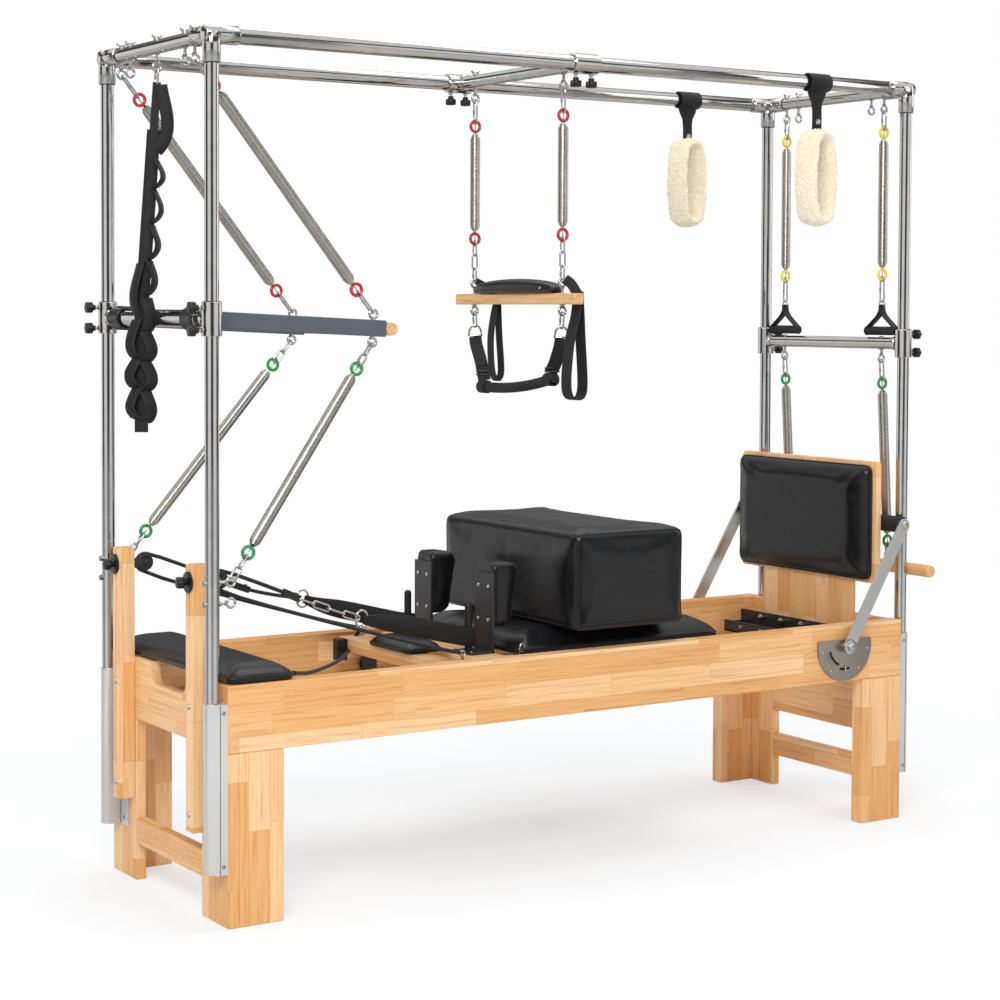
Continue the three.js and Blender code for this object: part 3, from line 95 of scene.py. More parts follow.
# Cross tubes and what they carry
HEAD_BAR_HEIGHT = 1.472
FOOT_BAR_HEIGHT = 1.404
FOOT_EYE_HEIGHT = 1.358
TRAPEZE_X = -0.040
TRAPEZE_BAR_HEIGHT = 1.528
TRAPEZE_BAR_HALF = 0.300
TRAPEZE_BAR_RADIUS = 0.015
TRAPEZE_EYE_RISE = 0.044
PUSH_TILT = math.radians(2.6)
ROLL_BAR_X = 1.16055
ROLL_BAR_Z = 0.733
ROLL_EYE_RISE = 0.034

# Springs
SPRING_RADIUS = 0.0145
SPRING_TIP_RADIUS = 0.0062
SPRING_TAPER = 0.017
# The grooves between the turns are drawn this deep; deeper ones break up the long streaks of light
SPRING_GROOVE = 0.0006
# Real turns lie 2.2 mm apart; drawn at 4 mm so that each one still shows in the picture
SPRING_PITCH = 0.004
RING_RADIUS = 0.0150
RING_WIRE = 0.0044
STEM_LENGTH = 0.0066
STEM_WIRE = 0.0015
LINK_WIRE = 0.0026
LINK_HALF_WIDTH = 0.0085

# Hanging webbing turns on its hook; its width then lies along the first of these, and it faces the second
TURNED_ACROSS = Vector((0.84, -0.54, 0))
TURNED_SQUARE = Vector((0.54, 0.84, 0))

# Fasteners
STUD_RADIUS = 0.004
STUD_SIDES = 16
# How far a fitting sinks into what it stands on, and the play of a sliding fit
SUNK = 0.001
PLAY = 0.0003

# Facets round a tube
TUBE_SIDES = 48

NEAR, FAR = -1, 1
SIDES = (("near", NEAR), ("far", FAR))
ENDS = (("head", -1), ("foot", 1))


# Camera, at the photograph's viewing angle
def make_camera():
    """The optical axis lies a tenth of the frame above the picture's middle, hence the shift."""
    focal_pixels, picture_pixels, sensor = 2174.8, 1000, 36
    yaw, pitch, roll = 0.5797, 0.0408, 0.0045
    data = bpy.data.cameras.new("camera")
    data.sensor_width = sensor
    data.lens = focal_pixels / picture_pixels * sensor
    data.shift_y = -0.1
    data.clip_end = 60
    camera = bpy.data.objects.new("camera", data)
    bpy.context.scene.collection.objects.link(camera)
    turn = Matrix.Rotation(-yaw, 4, "Z") @ Matrix.Rotation(math.pi / 2 - pitch, 4, "X")
    camera.matrix_world = Matrix.Translation((-3.3981, -5.0440, 1.4940)) @ turn @ Matrix.Rotation(
        roll, 4, "Z",
    )
    bpy.context.scene.camera = camera


make_camera()


# Colour and materials
def linear(code):
    """An sRGB hex value as the linear colour that the shader wants."""
    channels = [int(code[i : i + 2], 16) / 255 for i in (1, 3, 5)]
    return (*(c / 12.92 if c <= 0.04045 else ((c + 0.055) / 1.055) ** 2.4 for c in channels), 1.0)


def add(tree, kind, inputs=None, stops=None, out=0, **settings):
    """Adds one node and gives its output.

    Inputs maps a socket to a value or to the output that feeds it; stops fill a ramp.
    """
    made = tree.nodes.new("ShaderNode" + kind)
    for name, value in settings.items():
        setattr(made, name, value)
    for key, value in (inputs or {}).items():
        if isinstance(value, bpy.types.NodeSocket):
            tree.links.new(value, made.inputs[key])
        else:
            made.inputs[key].default_value = value
    if stops:
        ramp = made.color_ramp.elements
        for position, colour in stops[1:-1]:
            ramp.new(position).color = colour
        ordered = sorted(ramp, key=lambda e: e.position)
        for element, (position, colour) in zip(ordered, stops):
            element.position, element.color = position, colour
    return made.outputs[out]


def connect(shader, **sockets):
    """Feeds the shader's sockets, named with _ for a space."""
    for socket, output in sockets.items():
        shader.id_data.links.new(output, shader.inputs[socket.replace("_", " ")])


def finish_of(name, **shader):
    """A material with the shader's constants on its own sockets, and its object coordinates in metres."""
    made = bpy.data.materials.new(name)
    made.use_nodes = True
    tree = made.node_tree
    principled = tree.nodes["Principled BSDF"]
    for socket, value in shader.items():
        principled.inputs[socket.replace("_", " ")].default_value = value
    place = add(tree, "TexCoord", out="Object")
    return made, tree, principled, place


def grey(value):
    return (value, value, value, 1.0)


def ramp_of(stops):
    """A ramp's stops from pairs of position and sRGB hex value."""
    return [(position, linear(code)) for position, code in stops]


def darkened(colour, share):
    return tuple(channel * share for channel in colour[:3]) + (1.0,)


def stretched_along(tree, along, others, shift, along_scale, across_scale):
    """A place for wood grain: long along the grain, shifted there from block to block, and narrow across."""
    place = {0: add(tree, "Math", {0: along, 1: along_scale, 2: shift}, operation="MULTIPLY_ADD")}
    for i, other in enumerate(others):
        place[i + 1] = add(tree, "Math", {0: other, 1: across_scale}, operation="MULTIPLY")
    return add(tree, "CombineXYZ", place)


def rubberwood(grain, long_staves=True):
    """Finger-jointed rubberwood, sanded and lacquered: honey blocks of uneven tone with fine pores."""
    made, tree, shader, place = finish_of(
        f"lacquered_rubberwood_along_{grain}", IOR=1.5, Coat_Weight=0.12, Coat_Roughness=0.28,
    )
    stave_height = 0.058
    stave_length = 0.34 if long_staves else 0.26
    joint_line = 0.0007
    axes = add(tree, "SeparateXYZ", {0: place}).node.outputs
    along = axes[grain]
    first, second = [axes[name] for name in "XYZ" if name != grain]
    across = add(tree, "Math", {0: first, 1: second}, operation="ADD")
    row = add(tree, "Math", {0: across, 1: stave_height}, operation="DIVIDE")
    row = add(tree, "Math", {0: row}, operation="FLOOR")
    stagger = add(tree, "TexWhiteNoise", {"W": row}, noise_dimensions="1D")
    shifted = add(tree, "Math", {0: stagger, 1: stave_length, 2: along}, operation="MULTIPLY_ADD")
    flat = add(tree, "CombineXYZ", {0: shifted, 1: across})
    size = {"Scale": 1, "Mortar Size": joint_line, "Mortar Smooth": 0.2}
    size |= {"Brick Width": stave_length, "Row Height": stave_height}
    tones = {"Color1": grey(0), "Color2": grey(1), "Mortar": grey(0.35)}
    staves = add(tree, "TexBrick", {"Vector": flat, **size, **tones}, offset=0)
    tone_value = add(tree, "Math", {0: staves, 1: 9.0}, operation="MULTIPLY")
    # Growth streaks run with the grain, 6 mm apart, and each block has its own
    streak_place = stretched_along(tree, along, (first, second), tone_value, 2.6, 110.0)
    shape = {"Scale": 1.6, "Detail": 5, "Roughness": 0.62, "Distortion": 0.9}
    streaks = add(tree, "TexNoise", {"Vector": streak_place, **shape})
    # Pores are dashes 6 mm long and 0.5 mm wide, drawn at twice that so that they show
    pore_place = stretched_along(tree, along, (first, second), tone_value, 90.0, 700.0)
    pores = add(tree, "TexNoise", {"Vector": pore_place, "Scale": 1.0, "Detail": 1})
    pore_mask = add(tree, "MapRange", {"Value": pores, 1: 0.62, 2: 0.74, 3: 0.0, 4: 1.0})
    honey = [(0.0, "#E3A969"), (0.3, "#EAB373"), (0.62, "#F1C18A"), (1.0, "#F7CE9E")]
    base = add(tree, "ValToRGB", {0: staves}, stops=ramp_of(honey))
    brown = [(0.32, (0.70, 0.54, 0.40, 1)), (0.48, (0.93, 0.88, 0.82, 1)), (0.66, grey(1.0))]
    streak_colour = add(tree, "ValToRGB", {0: streaks}, stops=brown)
    mixed = add(tree, "MixRGB", {0: 0.85, 1: base, 2: streak_colour}, blend_type="MULTIPLY")
    soft_pores = add(tree, "Math", {0: pore_mask, 1: 0.42}, operation="MULTIPLY")
    pored = add(tree, "MixRGB", {0: soft_pores, 1: mixed, 2: linear("#A8703C")})
    joints = add(tree, "Math", {0: staves.node.outputs["Fac"], 1: 0.22}, operation="MULTIPLY")
    jointed = add(tree, "MixRGB", {0: joints, 1: pored, 2: linear("#9A6330")})
    rough = add(tree, "MapRange", {"Value": streaks, 1: 0.2, 2: 0.8, 3: 0.46, 4: 0.36})
    relief = add(tree, "Math", {0: streaks, 1: 0.4, 2: pore_mask}, operation="MULTIPLY_ADD")
    bump = add(tree, "Bump", {"Strength": 0.25, "Distance": 0.0003, "Height": relief}, invert=True)
    connect(shader, Base_Color=jointed, Roughness=rough, Normal=bump)
    return made


def turned_beech():
    """Turned dowel, oiled: straight pink-brown grain along Y with short dark flecks."""
    made, tree, shader, place = finish_of(
        "oiled_beech_dowel", IOR=1.48, Coat_Weight=0.08, Coat_Roughness=0.3,
    )
    stretched = add(tree, "Mapping", {"Vector": place, "Scale": (90, 5, 90)})
    streaks = add(tree, "TexNoise", {"Vector": stretched, "Scale": 1.5, "Detail": 5, "Roughness": 0.6})
    flecked = add(tree, "Mapping", {"Vector": place, "Scale": (900, 160, 900)})
    flecks = add(tree, "TexNoise", {"Vector": flecked, "Scale": 1.0, "Detail": 1})
    mask = add(tree, "MapRange", {"Value": flecks, 1: 0.63, 2: 0.75, 3: 0.0, 4: 0.5})
    beech = [(0.3, "#C58F58"), (0.5, "#DBA970"), (0.75, "#E6BA84")]
    base = add(tree, "ValToRGB", {0: streaks}, stops=ramp_of(beech))
    colour = add(tree, "MixRGB", {0: mask, 1: base, 2: linear("#9C6738")})
    rough = add(tree, "MapRange", {"Value": streaks, 1: 0.2, 2: 0.8, 3: 0.48, 4: 0.36})
    bump = add(tree, "Bump", {"Strength": 0.2, "Distance": 0.0002, "Height": streaks})
    connect(shader, Base_Color=colour, Roughness=rough, Normal=bump)
    return made


def metal(name, colour, smooth, rough, stretch, relief=0.0, metallic=1.0):
    """A metal whose tool marks are stretched by the given scale per metre; they vary its gloss."""
    made, tree, shader, place = finish_of(name, Metallic=metallic)
    drawn = add(tree, "Mapping", {"Vector": place, "Scale": stretch})
    marks = add(tree, "TexNoise", {"Vector": drawn, "Scale": 1.0, "Detail": 4, "Roughness": 0.6})
    gloss = add(tree, "MapRange", {"Value": marks, 1: 0.3, 2: 0.7, 3: smooth, 4: rough})
    light = linear(colour)
    tint = add(tree, "ValToRGB", {0: marks}, stops=[(0.3, darkened(light, 0.86)), (0.7, light)])
    connect(shader, Base_Color=tint, Roughness=gloss)
    if relief:
        bump = add(tree, "Bump", {"Strength": relief, "Distance": 0.0002, "Height": marks})
        connect(shader, Normal=bump)
    return made


def coated(name, colour, roughness, grain_scale, relief, worn=None, **shader_values):
    """Paint, plastic or rubber: a faintly mottled colour, and a skin with that many bumps a metre."""
    made, tree, shader, place = finish_of(name, **shader_values)
    grain = add(tree, "TexNoise", {"Vector": place, "Scale": grain_scale, "Detail": 2})
    blotch = add(tree, "TexNoise", {"Vector": place, "Scale": 14.0, "Detail": 3})
    base = linear(colour)
    tint = add(tree, "ValToRGB", {0: blotch}, stops=[(0.35, darkened(base, 0.82)), (0.65, base)])
    if worn:
        # Handling wears the edges paler: the pointed parts of the surface take the worn colour
        point = add(tree, "NewGeometry", out="Pointiness")
        edge = add(tree, "MapRange", {"Value": point, 1: 0.52, 2: 0.60, 3: 0.0, 4: 0.5})
        tint = add(tree, "MixRGB", {0: edge, 1: tint, 2: linear(worn)})
    gloss = add(
        tree, "MapRange", {"Value": blotch, 1: 0.3, 2: 0.7, 3: roughness - 0.05, 4: roughness + 0.06},
    )
    bump = add(tree, "Bump", {"Strength": relief, "Distance": 0.0004, "Height": grain})
    connect(shader, Base_Color=tint, Roughness=gloss, Normal=bump)
    return made


def black_leather():
    """Black upholstery leather, semi-matt: pebble grain of 1.6 mm cells and broad soft creases."""
    made, tree, shader, place = finish_of("grained_black_leather", IOR=1.42, Sheen_Weight=0.02)
    cells = add(tree, "TexVoronoi", {"Vector": place, "Scale": 620.0}, feature="DISTANCE_TO_EDGE")
    pebbles = add(tree, "MapRange", {"Value": cells, 1: 0.0, 2: 0.25, 3: 0.0, 4: 1.0})
    creases = add(tree, "TexNoise", {"Vector": place, "Scale": 22.0, "Detail": 5, "Distortion": 1.2})
    blacks = [(0.3, "#0A0B0D"), (0.55, "#0F1012"), (0.8, "#16171A")]
    tint = add(tree, "ValToRGB", {0: creases}, stops=ramp_of(blacks))
    gloss = add(tree, "MapRange", {"Value": creases, 1: 0.3, 2: 0.75, 3: 0.24, 4: 0.36})
    fine = add(tree, "Bump", {"Strength": 0.12, "Distance": 0.0003, "Height": pebbles})
    bump = add(tree, "Bump", {"Strength": 0.14, "Distance": 0.0008, "Height": creases, "Normal": fine})
    connect(shader, Base_Color=tint, Roughness=gloss, Normal=bump)
    return made


def nylon_webbing():
    """Black nylon webbing: cross ribs 2 mm apart over twill threads, with a faint sheen."""
    made, tree, shader, place = finish_of(
        "woven_black_nylon", Roughness=0.72, Sheen_Weight=0.06, Sheen_Roughness=0.4,
    )
    rib = add(
        tree, "TexWave", {"Vector": place, "Scale": 80.0, "Distortion": 0.0}, bands_direction="Z",
        out="Fac",
    )
    thread = add(
        tree, "TexWave", {"Vector": place, "Scale": 160.0, "Distortion": 0.4}, bands_direction="DIAGONAL",
        out="Fac",
    )
    weave = add(tree, "Math", {0: rib, 1: thread}, operation="MULTIPLY")
    tint = add(tree, "ValToRGB", {0: weave}, stops=ramp_of([(0.0, "#0A0A0B"), (1.0, "#1A1A1C")]))
    bump = add(tree, "Bump", {"Strength": 0.5, "Distance": 0.0006, "Height": weave})
    connect(shader, Base_Color=tint, Normal=bump)
    return made


def sheepskin():
    """Cream sheepskin fleece: curls of 6 mm with darker hollows and a strong sheen."""
    made, tree, shader, place = finish_of(
        "combed_cream_sheepskin", Roughness=0.95, Sheen_Weight=0.5, Sheen_Roughness=0.6,
        Subsurface_Weight=0.08,
    )
    curls = add(tree, "TexNoise", {"Vector": place, "Scale": 170.0, "Detail": 4, "Distortion": 1.5})
    tufts = add(tree, "TexVoronoi", {"Vector": place, "Scale": 120.0})
    both = add(tree, "Math", {0: curls, 1: tufts}, operation="MULTIPLY")
    creams = [(0.25, "#DCC7A0"), (0.5, "#F3E6CB"), (0.75, "#FBF3E1")]
    tint = add(tree, "ValToRGB", {0: curls}, stops=ramp_of(creams))
    bump = add(tree, "Bump", {"Strength": 0.8, "Distance": 0.003, "Height": both}, invert=True)
    connect(shader, Base_Color=tint, Normal=bump)
    return made


def braided_cord():
    """Black braided rope: diagonal strands 5 mm long, slightly shiny."""
    made, tree, shader, place = finish_of("braided_black_rope", Roughness=0.6, Sheen_Weight=0.06)
    left = add(
        tree, "TexWave", {"Vector": place, "Scale": 70.0, "Distortion": 1.0}, bands_direction="DIAGONAL",
        out="Fac",
    )
    right = add(
        tree, "TexWave", {"Vector": place, "Scale": 90.0, "Distortion": 1.0}, bands_direction="X",
        out="Fac",
    )
    strands = add(tree, "Math", {0: left, 1: right}, operation="MULTIPLY")
    tint = add(tree, "ValToRGB", {0: strands}, stops=ramp_of([(0.0, "#0C0C0D"), (1.0, "#232325")]))
    bump = add(tree, "Bump", {"Strength": 0.6, "Distance": 0.0008, "Height": strands})
    connect(shader, Base_Color=tint, Normal=bump)
    return made


WOOD_X = rubberwood("X")
WOOD_Y = rubberwood("Y")
WOOD_Z = rubberwood("Z", long_staves=False)
DOWEL = turned_beech()
CHROME = metal("polished_stainless_steel", "#C9C8C6", 0.045, 0.12, (30, 30, 30))
ALUMINIUM = metal("satin_anodised_aluminium", "#DAD9D6", 0.30, 0.36, (12, 12, 2), metallic=0.5)
SPRING_STEEL = metal("drawn_spring_steel", "#C4BFB7", 0.20, 0.28, (40, 40, 40))
BRUSHED = metal("brushed_stainless_steel", "#CDCCCA", 0.28, 0.4, (40, 900, 900), relief=0.02)
QUADRANT_STEEL = metal(
    "brushed_grey_steel_plate", "#A49D93", 0.34, 0.46, (60, 60, 900), relief=0.08, metallic=0.85,
)
ZINC = metal("zinc_plated_steel", "#C9CACB", 0.16, 0.3, (300, 300, 300))
SLATE = coated("slate_powder_coat", "#3D434C", 0.42, 900.0, 0.12, worn="#6C727B")
BLACK_PAINT = coated("black_powder_coat", "#17181A", 0.40, 900.0, 0.15, worn="#3A3B3E")
BLACK_PLASTIC = coated("moulded_black_nylon", "#141517", 0.38, 1500.0, 0.12, IOR=1.5)
# Black rubber, also used for painted shade: the dark strips on the brackets and the dark plates in the
# quadrant slots
RUBBER_AND_PAINTED_SHADE = coated("moulded_black_rubber_and_painted_shade", "#101011", 0.6, 1200.0, 0.2)
FOAM = coated("closed_cell_black_foam", "#151517", 0.66, 700.0, 0.35)
RED = coated("red_vinyl_coat", "#B81B27", 0.28, 700.0, 0.06, Coat_Weight=0.4)
GREEN = coated("green_vinyl_coat", "#13943F", 0.28, 700.0, 0.06, Coat_Weight=0.4)
YELLOW = coated("yellow_vinyl_coat", "#F0D93A", 0.28, 700.0, 0.06, Coat_Weight=0.4)
LEATHER = black_leather()
WEBBING = nylon_webbing()
SHEEPSKIN = sheepskin()
BRAID = braided_cord()
THREAD = coated("black_sewing_thread", "#2B2B2E", 0.7, 2000.0, 0.2)


# Forms
def circle_angles(count):
    return [2 * math.pi * i / count for i in range(count)]


def joined(forms):
    points, faces = [], []
    for more_points, more_faces in forms:
        start = len(points)
        points.extend(more_points)
        faces.extend(tuple(i + start for i in face) for face in more_faces)
    return points, faces


def moved(form, matrix):
    return [matrix @ Vector(p) for p in form[0]], form[1]


def box(low, high):
    corners = [
        Vector((x, y, z))
        for z in (low[2], high[2]) for y in (low[1], high[1]) for x in (low[0], high[0])
    ]
    faces = [(0, 2, 3, 1), (4, 5, 7, 6), (0, 1, 5, 4), (2, 6, 7, 3), (0, 4, 6, 2), (1, 3, 7, 5)]
    return corners, faces


def span(sign, inner, outer):
    """A stretch measured from the middle out to one side, lowest first."""
    return (-outer, -inner) if sign < 0 else (inner, outer)


def rings_to_form(rings, closed=False):
    """Joins rings of points into a skin. It closes on itself, or gets a face over each end."""
    count = len(rings[0])
    points = [p for ring in rings for p in ring]
    faces = []
    for r in range(len(rings) if closed else len(rings) - 1):
        a, b = r * count, (r + 1) % len(rings) * count
        for i in range(count):
            j = (i + 1) % count
            faces.append((a + i, a + j, b + j, b + i))
    if not closed:
        faces.append(tuple(range(count - 1, -1, -1)))
        faces.append(tuple(range(len(points) - count, len(points))))
    return points, faces


def turned(profile, base, axis, sides=32, closed=False):
    """A lathe form: the profile holds (radius, height) along the axis, counted from the base."""
    turn = Vector(axis).to_track_quat("Z", "Y").to_matrix()
    around = [(math.cos(t), math.sin(t)) for t in circle_angles(sides)]
    rings = [
        [Vector(base) + turn @ Vector((radius * u, radius * w, height)) for u, w in around]
        for radius, height in profile
    ]
    return rings_to_form(rings, closed)


def rod(a, b, radius, sides=32, edge=0.0008):
    a, b = Vector(a), Vector(b)
    length = (b - a).length
    edge = min(edge, radius / 3, length / 3)
    profile = [(radius - edge, 0), (radius, edge), (radius, length - edge), (radius - edge, length)]
    return turned(profile, a, b - a, sides)


def tube(a, b, outer, inner, sides=40, edge=0.001):
    """An open tube with rounded rims."""
    a, b = Vector(a), Vector(b)
    length = (b - a).length
    profile = [
        (inner, edge), (inner + edge, 0), (outer - edge, 0), (outer, edge), (outer, length - edge),
        (outer - edge, length), (inner + edge, length), (inner, length - edge),
    ]
    return turned(profile, a, b - a, sides, closed=True)


def swept(path, section, up=None, closed=False, spread=None):
    """A section (across, up) carried along a path; with no up it turns as little as the path allows.

    Spread holds a factor for each point of the path, by which the section's second measure grows.
    """
    path = [Vector(p) for p in path]
    count = len(path)
    tangents = []
    for i in range(count):
        before = path[(i - 1) % count] if closed else path[max(i - 1, 0)]
        after = path[(i + 1) % count] if closed else path[min(i + 1, count - 1)]
        tangents.append((after - before).normalized())
    normal = Vector(up) if up is not None else tangents[0].orthogonal()
    rings = []
    for i, (point, tangent) in enumerate(zip(path, tangents)):
        if up is None and i:
            normal = tangents[i - 1].rotation_difference(tangent) @ normal
        across = normal.cross(tangent).normalized()
        raised = tangent.cross(across)
        factor = spread[i] if spread else 1
        rings.append([point + across * u + raised * (w * factor) for u, w in section])
    return rings_to_form(rings, closed)


def circle(radius, sides=12):
    return [(radius * math.cos(t), radius * math.sin(t)) for t in circle_angles(sides)]


def disc(at, out, radius, height, edge, draw, sides=20):
    """A washer or collar; each of its faces is smaller than its middle by the draw."""
    profile = [(radius - draw, 0), (radius, edge), (radius, height - edge), (radius - draw, height)]
    return turned(profile, at, out, sides)


def strap_section(width, thickness):
    """Webbing seen end on: flat, with rolled edges."""
    half, side = width / 2, thickness / 2
    edge = side * 0.8
    right = [(half - edge, -side), (half, 0), (half - edge, side)]
    left = [(-half + edge, side), (-half, 0), (-half + edge, -side)]
    return right + left


def flat_section(width, thickness):
    """Webbing seen end on, with its width along the second measure."""
    return [(w, u) for u, w in strap_section(width, thickness)]


def hoop(centre, axis, radius, wire, stretch=0.0, along=(0, 0, 1), sides=32, wire_sides=10):
    """A wire ring; its halves are moved apart by the stretch, in the given direction, as in a chain link."""
    axis, along = Vector(axis).normalized(), Vector(along).normalized()
    across = axis.cross(along).normalized()
    path = []
    for i in range(sides):
        angle = 2 * math.pi * (i + 0.5) / sides
        push = math.copysign(stretch / 2, math.sin(angle))
        path.append(
            Vector(centre) + across * radius * math.cos(angle) + along * (radius * math.sin(angle) + push)
        )
    return swept(path, circle(wire, wire_sides), up=axis, closed=True)


def plate(outlines, thickness, place, edge=0.001):
    """A flat plate from closed outlines, of which the first is the rim and the others are holes."""
    curve = bpy.data.curves.new("plate", "CURVE")
    curve.dimensions = "2D"
    curve.fill_mode = "BOTH"
    curve.extrude = thickness / 2 - edge
    curve.bevel_depth = edge
    curve.bevel_resolution = 1
    curve.offset = -edge
    for outline in outlines:
        spline = curve.splines.new("POLY")
        spline.points.add(len(outline) - 1)
        spline.points.foreach_set("co", [c for x, y in outline for c in (x, y, 0, 1)])
        spline.use_cyclic_u = True
    holder = bpy.data.objects.new("plate", curve)
    bpy.context.scene.collection.objects.link(holder)
    bpy.context.view_layer.update()
    mesh = holder.evaluated_get(bpy.context.evaluated_depsgraph_get()).to_mesh()
    form = [place @ v.co for v in mesh.vertices], [tuple(p.vertices) for p in mesh.polygons]
    bpy.data.objects.remove(holder)
    bpy.data.curves.remove(curve)
    return form


def arc(cx, cy, radius, start, end, steps):
    """Points of an arc, its angles in degrees."""
    angles = [math.radians(start + (end - start) * i / steps) for i in range(steps + 1)]
    return [(cx + radius * math.cos(t), cy + radius * math.sin(t)) for t in angles]


# Planes for outlines: drawn in YZ and centred on an x, or in XZ and centred on a y
def plane_at_x(x):
    return Matrix.Translation((x, 0, 0)) @ Matrix(((0, 0, 1, 0), (1, 0, 0, 0), (0, 1, 0, 0), (0, 0, 0, 1)))


def plane_at_y(y):
    return Matrix.Translation((0, y, 0)) @ Matrix(((1, 0, 0, 0), (0, 0, -1, 0), (0, 1, 0, 0), (0, 0, 0, 1)))


def shade_smooth(mesh):
    mesh.polygons.foreach_set("use_smooth", [True] * len(mesh.polygons))


def piece(name, forms, material, body, replaces=(), edge=0.0, sharp=38):
    """Makes one object from forms."""
    points, faces = joined(forms)
    mesh = bpy.data.meshes.new(name)
    mesh.from_pydata([tuple(p) for p in points], [], faces)
    work = bmesh.new()
    work.from_mesh(mesh)
    bmesh.ops.remove_doubles(work, verts=work.verts, dist=1e-6)
    bmesh.ops.dissolve_degenerate(work, edges=work.edges, dist=1e-6)
    bmesh.ops.recalc_face_normals(work, faces=work.faces)
    work.to_mesh(mesh)
    work.free()
    shade_smooth(mesh)
    mesh.set_sharp_from_angle(angle=math.radians(sharp))
    mesh.materials.append(material)
    made = bpy.data.objects.new(name, mesh)
    bpy.context.scene.collection.objects.link(made)
    if edge:
        bevel = made.modifiers.new("soft edge", "BEVEL")
        bevel.width, bevel.segments = edge, 2
        bevel.limit_method, bevel.angle_limit = "ANGLE", math.radians(40)
    if body:
        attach(made, body)
    for node in replaces:
        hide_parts(node)
    return made


def screw(at, out, radius=0.006, rise=0.003):
    """A domed screw head with a hex socket, standing on a face."""
    socket = radius * 0.42
    profile = [
        (radius, 0), (radius, rise * 0.3), (radius * 0.86, rise * 0.8), (socket * 1.1, rise),
        (socket, rise * 0.9), (socket, rise * 0.45), (socket * 0.2, rise * 0.45),
    ]
    return turned(profile, Vector(at), out, 18)


def hex_nut(at, out, radius, height):
    return turned(
        [(radius - 0.0008, 0), (radius, 0.0008), (radius, height - 0.0008), (radius - 0.0012, height)], at,
        out, 6,
    )


def star_knob(at, out, radius, length):
    """A moulded knob with six lobes and a neck towards what it clamps."""
    turn = Vector(out).to_track_quat("Z", "Y").to_matrix()
    lobes, lobe_depth = 6, 0.17
    # Share of the length, share of the radius, share of the lobes' depth
    rows = [
        (0.0, 0.5, 0), (0.28, 0.5, 0), (0.34, 0.92, 1), (0.42, 1.0, 1), (0.86, 1.0, 1), (0.96, 0.9, 1),
        (1.0, 0.7, 0.6),
    ]
    rings = []
    for height, share, lobed in rows:
        ring = []
        for angle in circle_angles(48):
            wave = 1 - lobed * lobe_depth * (0.5 - 0.5 * math.cos(lobes * angle)) ** 1.5
            r = radius * share * wave
            local = Vector((r * math.cos(angle), r * math.sin(angle), height * length))
            ring.append(Vector(at) + turn @ local)
        rings.append(ring)
    return rings_to_form(rings)


def eye(centre, shank_from, radius=EYE_RADIUS, wire=EYE_WIRE, axis=(0, 1, 0)):
    """The eye of a bolt with its shank, and a small collar where the two meet."""
    centre, start = Vector(centre), Vector(shank_from)
    out = (start - centre).normalized()
    collar = centre + out * (radius + wire * 0.6)
    return [
        hoop(centre, axis, radius, wire), rod(collar, start, STUD_RADIUS, STUD_SIDES),
        disc(collar, out, 0.0062, 0.004, 0.001, 0.002, STUD_SIDES),
    ]


def wing_nut(base, out=(0, 0, 1)):
    """Nut with two upswept wings along X."""
    base = Vector(base)
    forms = [turned([(0.0075, 0), (0.008, 0.001), (0.0058, 0.0095), (0.004, 0.0098)], base, out, 20)]
    for sign in (-1, 1):
        path = [
            base + Vector((sign * x, 0, z))
            for x, z in ((0.004, 0.003), (0.008, 0.006), (0.0115, 0.010), (0.013, 0.0125))
        ]
        forms.append(swept(path, strap_section(0.008, 0.0032), up=(sign, 0, 0)))
    return forms


